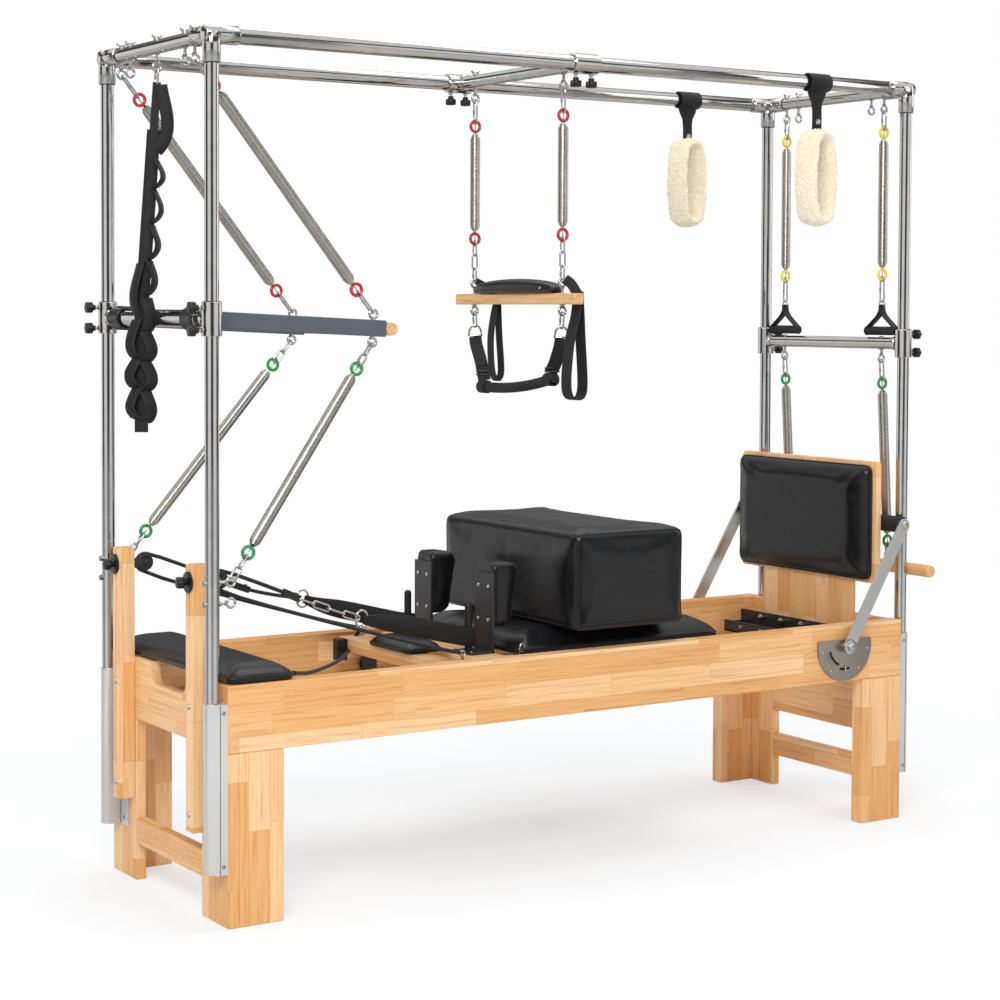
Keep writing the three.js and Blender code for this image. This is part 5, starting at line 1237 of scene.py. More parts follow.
# Hand straps on the yellow springs
def make_hand_straps():
    grip_height, grip_half, grip_radius = 1.4405, 0.066, 0.014
    strap_top, fork, strap_width = grip_height + 0.078, grip_height + 0.052, 0.025
    yellow_ring, length = strap_top + 0.090, 0.380
    x, across = POST_X, (1, 0, 0)
    # Down one branch of the fork: distance from the middle, height
    branch_rows = [
        (0.001, strap_top - 0.001), (0.003, fork + 0.008), (0.016, fork - 0.010),
        (grip_half - 0.012, grip_height + 0.012), (grip_half - 0.006, grip_height),
    ]
    # Half of the grip, with a thicker collar at its end
    rim = [
        (0.006, 0), (grip_radius - 0.002, 0.0005), (grip_radius, 0.0025), (grip_radius, 0.004),
        (grip_radius - 0.001, 0.006),
    ]
    profile = rim + [(radius, 2 * grip_half - height) for radius, height in reversed(rim)]
    for side, sign in SIDES:
        y, body, name = sign * EYE_LINE, f"{side}_arm_strap", f"{side}_hand_strap"
        low_end = Vector((x, y, yellow_ring - RING_RADIUS - RING_WIRE))
        low_free = 2 * RING_RADIUS + RING_WIRE + STEM_LENGTH
        share = 1 - low_free / (EYE_HEIGHT - low_end.z - length)
        eye_at = (x, y, EYE_HEIGHT)
        make_spring(f"{side}_arm_spring", eye_at, low_end, length, share, YELLOW, body, hooked_low=False)
        link_top = (x, y, yellow_ring - RING_RADIUS + RING_WIRE + 0.003)
        links = link_chain(link_top, (x, y, strap_top + 0.010), 0.05)
        links.append(hoop((x, y, strap_top + 0.004), across, 0.010, 0.0022))
        piece(f"{name}_ring", links, CHROME, body)
        straps, webbing_length = [], 0
        for branch in (-1, 1):
            path = smooth_path([(x, y + branch * out, z) for out, z in branch_rows], 28)
            straps.append(swept(path, flat_section(strap_width, 0.0035), up=across))
            webbing_length += path_length(path)
        keeper = [(x, y, strap_top + 0.001), (x, y, fork + 0.004)]
        straps.append(swept(keeper, flat_section(strap_width, 0.0085), up=across))
        webbing = piece(f"{name}_webbing", straps, WEBBING, body, [name], sharp=60)
        webbing_length += strap_top - fork
        grip = turned(profile, (x, y - grip_half, grip_height), (0, 1, 0), 32)
        foam = piece(f"{name}_grip", [grip], FOAM, body)


def make_roll_bar():
    half, radius = 0.405, 0.018
    # The bar's ends are rounded over
    profile = [(radius * 0.55, 0), (radius * 0.85, 0.0012), (radius * 0.97, 0.004), (radius, 0.009)]
    profile += [(r, 2 * half - h) for r, h in reversed(profile)]
    bar = turned(profile, (ROLL_BAR_X, -half, ROLL_BAR_Z), (0, 1, 0), TUBE_SIDES)
    piece("roll_down_wood_bar", [bar], DOWEL, "roll_bar", ["roll_down_bar"])
    forms = []
    for sign in (NEAR, FAR):
        x, y, top = ROLL_BAR_X, sign * EYE_LINE, ROLL_BAR_Z + radius
        forms += eye((x, y, ROLL_BAR_Z + ROLL_EYE_RISE), (x, y, top - SUNK))
        forms.append(disc((x, y, top - 0.0008), (0, 0, 1), 0.0085, 0.002, 0.0006, 0.001))
    piece("roll_down_bar_eyes", forms, CHROME, "roll_bar")


# Fleece loops
def make_fleece_loops():
    """Each loop is a band 74 mm wide and 31 mm thick, with its edges rolled in."""
    loop_radius, stretch, steps = 0.050, 0.145, 72
    half_width, half_thickness = 0.037, 0.0155
    turn = Matrix.Rotation(math.radians(15), 3, "Z")
    section = [(half_thickness * math.cos(t), half_width * math.sin(t)) for t in circle_angles(28)]
    for side, sign, x, top in (("near", NEAR, 0.777, 2.018), ("far", FAR, 0.800, 2.034)):
        y, body = sign * POST_Y, f"{side}_fleece"
        middle = top - half_thickness - loop_radius - stretch / 2
        path = []
        for i in range(steps):
            angle = 2 * math.pi * (i + 0.5) / steps
            flank = min(1, abs(math.sin(angle)) * 1.3)
            height = middle + loop_radius * math.sin(angle) + math.copysign(
                stretch / 2, math.sin(angle),
            ) * flank
            path.append(Vector((x, y, height)) + turn @ Vector((loop_radius * math.cos(angle), 0, 0)))
        band = swept(path, section, up=turn @ Vector((0, 1, 0)), closed=True)
        fleece = piece(f"{side}_fleece_cuff", [band], SHEEPSKIN, body, sharp=180)
        roughen(fleece, 0.0019)
        make_fleece_strap(side, x, y, body, top - half_thickness)


def roughen(target, voxel):
    """Fleece curls: the skin is remeshed and pushed in and out by two sizes of noise."""
    even_mesh(target, voxel)
    mesh = target.data
    broad, fine = 34.0, 190.0
    broad_depth, fine_depth = 0.0022, 0.0030
    places, normals = vectors_of(mesh.vertices, "co"), vectors_of(mesh.vertex_normals, "vector")
    for i, place in enumerate(places):
        p = Vector(place)
        lift = broad_depth * noise.noise(p * broad)
        lift += fine_depth * (abs(noise.noise(p * fine)) * 2 - 0.55)
        places[i] += normals[i] * lift
    mesh.vertices.foreach_set("co", places.ravel())
    shade_smooth(mesh)
    mesh.update()


def apply_modifiers(target):
    evaluated = target.evaluated_get(bpy.context.evaluated_depsgraph_get())
    mesh = bpy.data.meshes.new_from_object(evaluated)
    target.modifiers.clear()
    target.data = mesh


def even_mesh(target, voxel):
    remesh = target.modifiers.new("even mesh", "REMESH")
    remesh.mode, remesh.voxel_size = "VOXEL", voxel
    apply_modifiers(target)


def vectors_of(items, key):
    """The named vector of every item, as the rows of an array."""
    values = np.empty(len(items) * 3)
    items.foreach_get(key, values)
    return values.reshape(-1, 3)


def make_fleece_strap(side, x, y, body, loop_top):
    """Webbing that wraps the rail in a wide cuff, narrows below it and holds the fleece with a snap."""
    cuff_half, cuff_radius, z = 0.039, 0.0262, RAIL_HEIGHT
    bore = RAIL_RADIUS + 2 * PLAY
    cuff = tube((x - cuff_half, y, z), (x + cuff_half, y, z), cuff_radius, bore, TUBE_SIDES, 0.0012)
    below = z - cuff_radius
    # The cuff gathers to the strap: drop, half width, half thickness
    gather_rows = (
        (-0.012, 0.038, 0.010), (0.010, 0.032, 0.0075), (0.032, 0.020, 0.0055), (0.050, 0.018, 0.004),
    )
    gather = [
        [Vector((x + half * math.cos(t), y + depth * math.sin(t), below - drop)) for t in circle_angles(24)]
        for drop, half, depth in gather_rows
    ]
    strap_path = [(x, y, below - 0.040), (x, y - 0.001, below - 0.075), (x, y, loop_top - 0.014)]
    strap = swept(smooth_path(strap_path, 12), strap_section(0.036, 0.004), up=(0, 1, 0))
    tab_path = [(x, y + NEAR * 0.004, below - 0.046), (x, y + NEAR * 0.0045, below - 0.098)]
    tab = swept(tab_path, strap_section(0.030, 0.003), up=(0, 1, 0))
    forms = [cuff, rings_to_form(gather), strap, tab]
    node = f"{side}_fleece_loop"
    piece(f"{side}_fleece_strap", forms, WEBBING, body, [node], sharp=60)
    dome = [(0.008, 0), (0.008, 0.0008), (0.0055, 0.0018), (0.0045, 0.0016), (0.001, 0.0016)]
    snap = turned(dome, (x, y - 0.0055, below - 0.085), (0, -1, 0), 24)
    piece(f"{side}_fleece_snap", [snap], CHROME, body)


# Strap of many loops: a long band with shorter bands sewn to it, which stand out as ears.
# Each row is an ear: its top, its bottom, its side, how far it stands out, and how far it is twisted
# from lying square to the band (0) to lying flat beside it (1).
STRAP_EARS = [
    (2.056, 1.890, 1, 0.034, 0.85),
    (1.872, 1.797, 1, 0.032, 0.2),
    (1.797, 1.710, 1, 0.033, 0.2),
    (1.710, 1.620, 1, 0.031, 0.25),
    (1.620, 1.530, 1, 0.028, 0.3),
    (1.612, 1.482, -1, 0.022, 0.5),
    (1.524, 1.440, 1, 0.024, 0.65),
    (1.470, 1.372, -1, 0.027, 0.6),
    (1.440, 1.366, 1, 0.028, 0.6),
    (1.372, 1.300, -1, 0.029, 0.65),
    (1.366, 1.292, 1, 0.028, 0.6),
    (1.300, 1.222, -1, 0.027, 0.6),
    (1.292, 1.214, 1, 0.025, 0.65),
]
STRAP_TOP, STRAP_BOTTOM, STRAP_LEAN = 2.062, 1.183, 0.044


def strap_spine(z):
    """The band hangs from its hook down to the push bar's sleeve, and plumb below that."""
    lean = STRAP_LEAN * min(1.0, (STRAP_TOP - z) / (STRAP_TOP - HEAD_BAR_HEIGHT))
    return Vector((-POST_X - lean, 0, z))


def make_loop_strap():
    width, thickness, clear = 0.034, 0.0028, 0.0012
    section = flat_section(width, thickness)
    narrow = [(w, u * 0.62) for w, u in section]
    steps = 60
    spine = [strap_spine(z) for z in np.linspace(STRAP_TOP, STRAP_BOTTOM + 0.004, steps)]
    turn_steps = 8
    forms = [swept(spine[turn_steps:], section, up=TURNED_ACROSS)]
    forms.append(swept(spine[: turn_steps + 1], narrow, up=TURNED_ACROSS))
    tacks = []
    webbing_length = path_length(spine)
    for i, (high, low, side, reach, twist) in enumerate(STRAP_EARS):
        # The band meets the long one at its edge, swells downwards and turns in short at the bottom
        edge = width * 0.30
        path = []
        count = 22
        for k in range(count + 1):
            share = k / count
            swell = math.sin(math.pi * share ** 1.5) ** 0.75
            wobble = 0.0025 * math.sin(2 * math.pi * share + 2.1 * i)
            out = side * (edge + (reach - edge) * swell)
            forward = (thickness + clear) * (1 + i % 2) * math.sin(math.pi * share) ** 0.3
            z = high - (high - low) * share
            path.append(strap_spine(z) + TURNED_ACROSS * out - TURNED_SQUARE * (forward + wobble * swell))
        flat_way = (TURNED_SQUARE * (1 - twist) + TURNED_ACROSS * side * twist).normalized()
        forms.append(swept(path, [(w, u * 0.94) for w, u in section], up=flat_way))
        webbing_length += path_length(path)
        seat = strap_spine(low) - TURNED_SQUARE * (thickness + clear)
        for drop in (0.003, 0.007):
            a = seat + TURNED_ACROSS * (side * edge - 0.008) + Vector((0, 0, drop))
            b = seat + TURNED_ACROSS * (side * edge + 0.006) + Vector((0, 0, drop))
            tacks.append(rod(a, b, 0.0005, 6, 0.0001))
    made = piece("loop_strap_webbing", forms, WEBBING, "loop_strap", ["loop_strap"], sharp=60)
    piece("loop_strap_stitches", tacks, THREAD, "loop_strap")
    hook = link_chain((-POST_X, 0, EYE_HEIGHT - 0.005), (-POST_X - 0.001, 0, STRAP_TOP - 0.004), 0.05)
    piece("loop_strap_hook", hook, CHROME, "loop_strap")


# Risers with their rope pulleys
RISER_LINE = 0.223
PULLEY_HEIGHT = 0.832
PULLEY_X = -BED_END - BOARD_GAP + 0.036


def make_risers():
    face = -BED_END - BOARD_GAP
    depth, half, bottom, top = 0.046, 0.019, 0.218, 0.875
    slot_half, slot_bottom, slot_top = 0.004, 0.572, 0.850
    outer = face - depth
    rectangle = lambda y, half, low, high: [
        (y - half, low), (y + half, low), (y + half, high), (y - half, high),
    ]
    dished = [(0.024, 0), (0.026, 0.001), (0.026, 0.005), (0.022, 0.007), (0.012, 0.0072)]
    cheek, fork_half, fork, fork_nose = 0.0078, 0.013, 0.003, 0.010
    # Half of the wheel's section, from its bore out to the flange's lip
    half_wheel = [(0.0045, -0.006), (0.006, -0.007), (0.0205, -0.007), (0.022, -0.0058), (0.0205, -0.0042)]
    groove = [(0.017 + 0.0035 * (abs(t) ** 2.2), 0.0042 * t) for t in np.linspace(-0.8, 0.8, 7)]
    wheel_profile = half_wheel + groove + [(radius, -height) for radius, height in reversed(half_wheel)]
    mark_line, mark_count = 0.0125, 5
    x, z = PULLEY_X, PULLEY_HEIGHT
    for side, sign in SIDES:
        y = sign * RISER_LINE
        outlines = [rectangle(y, half, bottom, top), rectangle(y, slot_half, slot_bottom, slot_top)]
        timber = plate(outlines, depth, plane_at_x(face - depth / 2), 0.002)
        piece(f"{side}_riser_timber", [timber], WOOD_Z, "frame", [f"{side}_riser"])
        clamp = turned(dished, (outer + 0.0002, y, z), (-1, 0, 0), 40)
        knob = star_knob((outer - 0.0062, y, z), (-1, 0, 0), 0.015, 0.026)
        piece(f"{side}_riser_knob", [clamp, knob], BLACK_PLASTIC, "frame")
        heads = [screw((outer, y, height), (-1, 0, 0), 0.007, 0.003) for height in (0.261, 0.526)]
        piece(f"{side}_riser_bolts", heads, ZINC, "frame")
        # The pulley's fork: a back, two cheeks and the axle through them
        reach = cheek + fork
        forms = [box((face - 0.003, y - reach, z - fork_half), (face + 0.003, y + reach, z + fork_half))]
        for way in (-1, 1):
            rim = [(face, z - fork_half), (x, z - fork_nose)]
            rim += arc(x, z, fork_nose, -90, 90, 10)[1:]
            rim += [(face, z + fork_half)]
            forms.append(plate([rim], fork, plane_at_y(y + way * (cheek + fork / 2)), 0.0004))
            forms.append(hex_nut((x, y + way * reach, z), (0, way, 0), 0.0065, 0.004))
        forms.append(rod((x, y - reach, z), (x, y + reach, z), STUD_RADIUS, STUD_SIDES))
        piece(f"{side}_pulley_fork", forms, BLACK_PAINT, "frame")
        forms = [turned(wheel_profile, (x, y, z), (0, 1, 0), 40, closed=True)]
        for i in range(mark_count):
            angle = 2 * math.pi * i / mark_count
            at = (x + mark_line * math.cos(angle), y - 0.0068, z + mark_line * math.sin(angle))
            forms.append(turned([(0.0026, 0), (0.0026, 0.0006), (0.0018, 0.0006)], at, (0, -1, 0), 12))
        name = f"{side}_pulley"
        piece(f"{name}_wheel", forms, BLACK_PLASTIC, name, [name])


# Cushions
BOX_SIZE = (0.375, 0.686, 0.272)
BOX_X, BOX_BASE = 0.112, 0.640
CUSHIONS = []


def rounded_rectangle(width, depth, corner, z, steps=8):
    points = []
    for quarter in range(4):
        sx = 1 if quarter in (0, 3) else -1
        sy = 1 if quarter < 2 else -1
        for i in range(steps + 1):
            angle = (quarter + i / steps) * math.pi / 2
            x = sx * (width / 2 - corner) + corner * math.cos(angle)
            y = sy * (depth / 2 - corner) + corner * math.sin(angle)
            points.append(Vector((x, y, z)))
    return points


def cushion_form(width, depth, height, corner, shoulder, slope, pinch=0.003):
    """A stuffed pad standing on z = 0. Its side rises to the shoulder, and its top slopes up from there.

    The slope is the distance from the edge over which the top rises to its full height.
    """
    rings = [rounded_rectangle(width - 2 * pinch, depth - 2 * pinch, corner, 0)]
    for share, inset in ((0.12, pinch * 0.4), (0.5, 0.0), (0.88, pinch * 0.4), (1.0, pinch)):
        rings.append(rounded_rectangle(width - 2 * inset, depth - 2 * inset, corner, shoulder * share))
    steps = 12
    for i in range(1, steps + 1):
        share = i / steps
        inset = pinch + slope * share
        rise = (height - shoulder) * math.sin(share * math.pi / 2) ** 0.85
        radius = max(corner - inset * 0.4, 0.006)
        rings.append(rounded_rectangle(width - 2 * inset, depth - 2 * inset, radius, shoulder + rise))
    return rings_to_form(rings)


def cushion(name, form, place, body, node, voxel=0.006, cap=0.005, pressure=4.0, fill=0.7, hold=0.006):
    """A leather cushion; the low part of it is held while the stuffing swells the rest."""
    made = piece(name, [form], LEATHER, None, [node] if node else (), sharp=180)
    even_mesh(made, voxel)
    made.data.materials.clear()
    made.data.materials.append(LEATHER)
    CUSHIONS.append((made, place, body, cap, pressure, fill, hold))
    return made


def swell_cushions():
    """Runs every cushion's stuffing at once, caps how far a point moved, and lays the cushions in place."""
    scene, last_step = bpy.context.scene, 20
    for made, place, body, cap, pressure, fill, hold in CUSHIONS:
        held = made.vertex_groups.new(name="held")
        held.add([v.index for v in made.data.vertices if v.co.z < hold], 1.0, "REPLACE")
        cloth = made.modifiers.new("stuffing", "CLOTH")
        cloth.settings.effector_weights.gravity = 0
        cloth.settings.use_pressure = True
        cloth.settings.uniform_pressure_force = pressure
        cloth.settings.quality = 4
        cloth.settings.vertex_group_mass = "held"
        cloth.settings.tension_stiffness = 25
        cloth.settings.bending_stiffness = 2.0
        cloth.point_cache.frame_start, cloth.point_cache.frame_end = 1, last_step
    for step in range(1, last_step + 1):
        scene.frame_set(step)
    graph = bpy.context.evaluated_depsgraph_get()
    for made, place, body, cap, pressure, fill, hold in CUSHIONS:
        before = vectors_of(made.data.vertices, "co")
        shift = vectors_of(made.evaluated_get(graph).data.vertices, "co") - before
        reach = np.linalg.norm(shift, axis=1, keepdims=True)
        shift *= np.minimum(1, cap / np.maximum(reach, 1e-9))
        made.modifiers.clear()
        made.data.vertices.foreach_set("co", (before + shift).ravel())
    scene.frame_set(1)
    for made, place, body, cap, pressure, fill, hold in CUSHIONS:
        made.vertex_groups.clear()
        smooth = made.modifiers.new("even skin", "SMOOTH")
        smooth.factor, smooth.iterations = 0.5, 9
        apply_modifiers(made)
        made.data.transform(place)
        shade_smooth(made.data)
        finer = made.modifiers.new("finer skin", "SUBSURF")
        finer.levels = finer.render_levels = 1
        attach(made, body)


def skin_under(made, points):
    """The place on a piece's skin that is nearest to each point, with its normal."""
    mesh = made.data
    tree = BVHTree.FromPolygons([v.co for v in mesh.vertices], [tuple(p.vertices) for p in mesh.polygons])
    return [tree.find_nearest(Vector(point))[:2] for point in points]


def piping(name, on, loop, body, radius=0.0018, closed=True):
    """A corded seam that follows the cushion's skin under the given loop of points."""
    path = [found + normal * radius * 0.3 for found, normal in skin_under(on, loop)]
    count = len(path)
    for _ in range(3):
        evened = [(path[i - 1] + path[i] * 2 + path[(i + 1) % count]) / 4 for i in range(count)]
        if not closed:
            evened[0], evened[-1] = path[0], path[-1]
        path = evened
    cord = swept(path, circle(radius, 8), closed=closed)
    piece(name, [cord], LEATHER, body, sharp=180)


def dense_loop(width, depth, corner, z, place, spacing=0.006):
    """A rounded rectangle's points, close together, moved to a cushion's place."""
    corners = rounded_rectangle(width, depth, corner, z)
    path = []
    for i, point in enumerate(corners):
        following = corners[(i + 1) % len(corners)]
        steps = max(1, int((following - point).length / spacing))
        path += [place @ point.lerp(following, k / steps) for k in range(steps)]
    return path


PAD_SEAMS = []


def pad_on(name, node, width, depth, height, corner, shoulder, slope, place, body, **stuffing):
    """A cushion whose seam with piping runs round it at the shoulder."""
    room = 0.0028
    form = cushion_form(width - 2 * room, depth - 2 * room, height - room, corner, shoulder, slope)
    made = cushion(name, form, place, body, node, **stuffing)
    PAD_SEAMS.append((f"{name}_piping", made, (width, depth, corner, shoulder), place, body))
    return made


def make_cushions():
    level = lambda x, z: Matrix.Translation((x, 0, z + PLAY))
    bed_end, carriage_top, board_face = -BED_END + 0.0985, 0.580, 1.029
    stand = Matrix.Translation((board_face - PLAY, 0, 0.875)) @ Matrix.Rotation(-math.pi / 2, 4, "Y")
    # Name, node, width, depth, height, corner, shoulder, slope, place, body, stuffing
    for *sizes, place, body, stuffing in (
        ("platform", "head_platform_pad", 0.193, 0.690, 0.045, 0.026, 0.016, 0.055,
         level(bed_end, BED_TOP), "frame", {"voxel": 0.007}),
        ("carriage", "carriage_pad", 0.698, 0.576, 0.0597, 0.030, 0.020, 0.075,
         level(0.127, carriage_top), "carriage", {"voxel": 0.008}),
        ("headrest", "headrest", 0.130, 0.224, 0.036, 0.028, 0.013, 0.040,
         level(-0.400, carriage_top), "headrest", {"voxel": 0.005, "cap": 0.004}),
        ("jump_board", "jump_board_pad", 0.354, 0.606, 0.044, 0.028, 0.022, 0.045,
         stand, "jump_board", {"voxel": 0.007, "pressure": 2.0}),
    ):
        pad_on(f"{sizes[0]}_leather_pad", *sizes[1:], place, body, **stuffing)
    make_trapeze_pad()
    make_sitting_box()
    make_shoulder_rests()


def make_trapeze_pad():
    """A long stuffed pad on the bar, arched, with ends that thin out."""
    width, length, height, thin_end = 0.060, 0.396, 0.040, 0.014
    steps, squareness = 28, 0.55
    round_off = lambda value: math.copysign(abs(value) ** squareness, value)
    rings = []
    for i in range(steps + 1):
        share = i / steps
        swell = math.sin(math.pi * share)
        half_height = (thin_end + (height - thin_end) * swell ** 0.36) / 2
        half_width = width / 2 * (0.72 + 0.28 * min(1, swell * 2.2))
        y = (share - 0.5) * length
        ring = []
        for t in circle_angles(28):
            rise = half_height * (1 + round_off(math.sin(t)))
            ring.append(Vector((half_width * round_off(math.cos(t)), y, rise)))
        rings.append(ring)
    place = Matrix.Translation((TRAPEZE_X, 0, TRAPEZE_BAR_HEIGHT + TRAPEZE_BAR_RADIUS + PLAY))
    name, body, form = "trapeze_leather_pad", "trapeze", rings_to_form(rings)
    made = cushion(name, form, place, body, "trapeze_pad", voxel=0.004, cap=0.004)
    PAD_SEAMS.append((f"{name}_piping", made, (width, length, 0.022, 0.010), place, body))


def make_sitting_box():
    """A firm upholstered box: soft edges, a sewn seam on every corner of the near and far ends."""
    length, width, height = BOX_SIZE
    soft, room = 0.022, 0.003
    place = Matrix.Translation((BOX_X, 0, BOX_BASE + PLAY))
    rings = []
    for z, inset in box_profile(height - room, soft):
        cut = 2 * (room + inset)
        rings.append(rounded_rectangle(length - cut, width - cut, max(soft - inset, 0.004), z))
    name, form = "sitting_box", rings_to_form(rings)
    stuffing = {"voxel": 0.008, "pressure": 2.5, "fill": 0.9, "hold": 0.004}
    made = cushion(f"{name}_leather", form, place, name, name, **stuffing)
    PAD_SEAMS.append((f"{name}_base_piping", made, (length, width, soft, 0.012), place, name))


def box_profile(height, soft):
    """(height, inset) up the side of a box with rounded rims."""
    low = soft * 0.4
    steps = 6
    rows = [(low * (1 - math.cos(t)), low * (1 - math.sin(t))) for t in np.linspace(0, math.pi / 2, steps)]
    rows += [(low + (height - low - soft) * share, 0.0) for share in (0.25, 0.5, 0.75)]
    rows += [
        (height - soft + soft * math.sin(t), soft * (1 - math.cos(t)))
        for t in np.linspace(0, math.pi / 2, steps)
    ]
    return rows


def make_box_seams(made):
    """The seams down the four corners and along the rim of each end panel."""
    length, width, height = BOX_SIZE
    inset, steps = 0.009, 60
    x0, x1 = BOX_X - length / 2 + inset * 0.3, BOX_X + length / 2 - inset * 0.3
    z0, z1 = BOX_BASE + 0.008, BOX_BASE + height - inset * 0.4
    corners = [(x0, z0), (x0, z1), (x1, z1), (x1, z0)]
    for end, sign in SIDES:
        y = sign * (width / 2 - 0.0065)
        loop = []
        for (ax, az), (bx, bz) in zip(corners, corners[1:]):
            shares = [k / steps for k in range(steps)]
            loop += [(ax + (bx - ax) * share, y, az + (bz - az) * share) for share in shares]
        piping(f"sitting_box_{end}_seam", made, loop, "sitting_box", 0.0014, closed=False)


def make_shoulder_rests():
    line, plate_x, half, thickness = 0.158, -0.249, 0.0445, 0.006
    base, plate_top, pad_low, pad_top, depth = 0.5803, 0.794, 0.648, 0.822, 0.088
    peg_x, peg_radius, peg_length, dome = -0.297, 0.010, 0.1317, 0.009
    front, height, corner = plate_x + thickness, pad_top - pad_low, 0.016
    collar = peg_radius + 0.004
    profile = [(collar, 0), (collar, 0.003), (peg_radius, 0.005), (peg_radius, peg_length - dome)]
    for t in np.linspace(0.2, math.pi / 2 - 0.05, 6):
        profile.append((peg_radius * math.cos(t), peg_length - dome + dome * math.sin(t)))
    # The pad's rings: share of its depth, inset
    pad_rows = ((0.0, 0.004), (0.18, 0.0), (0.55, 0.0005), (0.8, 0.004), (0.93, 0.012), (1.0, 0.022))
    for side, sign in SIDES:
        y, name, body = sign * line, f"{side}_shoulder", "carriage"
        upright = box((plate_x, y - half, base), (front, y + half, plate_top))
        foot = box((peg_x - 0.020, y - half, base), (front, y + half, base + thickness))
        piece(f"{name}_plate", [upright, foot], BLACK_PAINT, body, [f"{name}_rest"], 0.0015)
        peg = turned(profile, (peg_x, y, base + thickness * 0.5), (0, 0, 1), 24)
        piece(f"{name}_peg", [peg], RUBBER_AND_PAINTED_SHADE, body)
        places = [
            ((plate_x, y + offset, z), (-1, 0, 0), 0.0056)
            for z in (0.668, 0.758) for offset in (-0.024, 0.024)
        ]
        places += [
            ((peg_x - 0.008, y + offset, base + thickness), (0, 0, 1), 0.0045)
            for offset in (-0.028, 0.028)
        ]
        heads = [screw(at, out, radius, 0.003) for at, out, radius in places]
        piece(f"{name}_screws", heads, CHROME, body)
        # Drawn lying on its back, and stood up against the plate; it bulges where it meets the shoulder
        rings = []
        for share, inset in pad_rows:
            ring = []
            for p in rounded_rectangle(height - 2 * inset, 2 * half - 2 * inset, corner, 0):
                up = min(1, max(0, (p.x + height / 2) / height))
                reach = depth * (0.72 + 0.28 * math.sin(up * math.pi * 0.62) ** 2)
                ring.append(Vector((p.x, p.y, reach * share)))
            rings.append(ring)
        place = Matrix.Translation((front + PLAY, y, (pad_low + pad_top) / 2))
        place = place @ Matrix.Rotation(math.pi / 2, 4, "Y") @ Matrix.Rotation(math.pi, 4, "Z")
        form, stuffing = rings_to_form(rings), {"voxel": 0.0045, "cap": 0.003, "fill": 0.8}
        made = cushion(f"{name}_leather_pad", form, place, body, None, **stuffing)
        for share in (0.10, 0.86):
            seam = (height - 0.004, 2 * half - 0.004, corner, depth * share)
            PAD_SEAMS.append((f"{name}_piping_{int(share * 100)}", made, seam, place, body))


def make_pad_rivet(on):
    """The rivet that closes the fold at the near end of the trapeze pad."""
    outside = Vector((TRAPEZE_X - 0.050, -0.158, TRAPEZE_BAR_HEIGHT + 0.030))
    found, normal = skin_under(on, [outside])[0]
    head = screw(found - normal * SUNK / 2, normal, 0.0045, 0.0022)
    piece("trapeze_pad_rivet", [head], CHROME, "trapeze")


def make_seams():
    box_made = None
    for name, made, (width, depth, corner, z), place, body in PAD_SEAMS:
        piping(name, made, dense_loop(width, depth, corner, z, place), body)
        if name.startswith("sitting_box"):
            box_made = made
        if name.startswith("trapeze"):
            make_pad_rivet(made)
    make_box_seams(box_made)


# Carriage
def make_carriage():
    head, foot, half, low, top = -0.445, 0.476, 0.285, 0.542, 0.580
    board, axle_height, wheel_line, axle_radius = 0.042, 0.4943, 0.288, 0.0045
    hanger_y, hanger_half = (0.268, 0.2788), 0.022
    tread = [(axle_radius, -0.0075), (0.018, -0.008), (0.020, -0.006)]
    tread += [(radius, -height) for radius, height in reversed(tread)]
    body = "carriage"
    for side, sign in SIDES:
        y = span(sign, half - board, half)
        rail = box((head, y[0], low), (foot, y[1], top))
        replaced = ["carriage_frame"] if sign < 0 else []
        piece(f"{side}_carriage_rail", [rail], WOOD_X, body, replaced, 0.002)
        for tag, x in (("head", head + 0.090), ("foot", foot - 0.090)):
            at = (x, sign * wheel_line, axle_height)
            wheel = turned(tread, at, (0, 1, 0), 32, closed=True)
            piece(f"{side}_{tag}_wheel", [wheel], RUBBER_AND_PAINTED_SHADE, body)
            y = span(sign, *hanger_y)
            hanger = box((x - hanger_half, y[0], axle_height - 0.010), (x + hanger_half, y[1], low))
            ends = [(x, sign * reach, axle_height) for reach in (hanger_y[0], 0.2962)]
            name = f"{side}_{tag}_wheel_hanger"
            forms = [hanger, rod(*ends, axle_radius, STUD_SIDES)]
            piece(name, forms, BLACK_PAINT, body, edge=0.001)
    inner = half - board
    for name, x0, x1 in (
        ("head", head, head + 0.060), ("shoulder", -0.335, -0.235), ("foot", foot - 0.060, foot),
    ):
        cross = box((x0, -inner, low), (x1, inner, top))
        piece(f"{name}_carriage_cross", [cross], WOOD_Y, body, edge=0.002)
    base_plate = [(0.012, 0), (0.012, 0.0015), (0.0105, 0.002), (0.005, 0.0022)]
    eye_x, hook_x, fitting_line = -0.385, -0.205, 0.268
    hook_rows = [(0, 0), (0, 0.022), (0.006, 0.031), (0.014, 0.026), (0.014, 0.016)]
    for side, sign in SIDES:
        x, y = eye_x, sign * fitting_line
        forms = [
            rod((x, y, top - SUNK), (x, y, top + 0.018), axle_radius, STUD_SIDES),
            hoop((x, y, top + 0.020), (0, 1, 0), 0.0075, 0.0025),
            turned(base_plate, (x, y, top), (0, 0, 1), 24),
        ]
        piece(f"{side}_rope_eye", forms, CHROME, body)
        hook = smooth_path([(hook_x + out, y, top + rise) for out, rise in hook_rows], 20)
        form = swept(hook, circle(0.0026, 10))
        piece(f"{side}_carriage_hook", [form], CHROME, body, sharp=60)
    block = box((-0.478, 0.236, 0.520), (-0.4453, 0.262, 0.5795))
    piece("carriage_stop_block", [block], BLACK_PLASTIC, body, edge=0.0015)
    hinges, hinge_half = [], 0.018
    for sign in (-1, 1):
        y0, y1 = sign * 0.070 - hinge_half, sign * 0.070 + hinge_half
        hinges.append(box((-0.342, y0, top - SUNK), (-0.322, y1, top + 0.0012)))
        hinges.append(rod((-0.334, y0, top + 0.002), (-0.334, y1, top + 0.002), 0.0022, 12))
    piece("headrest_hinges", hinges, ZINC, body)


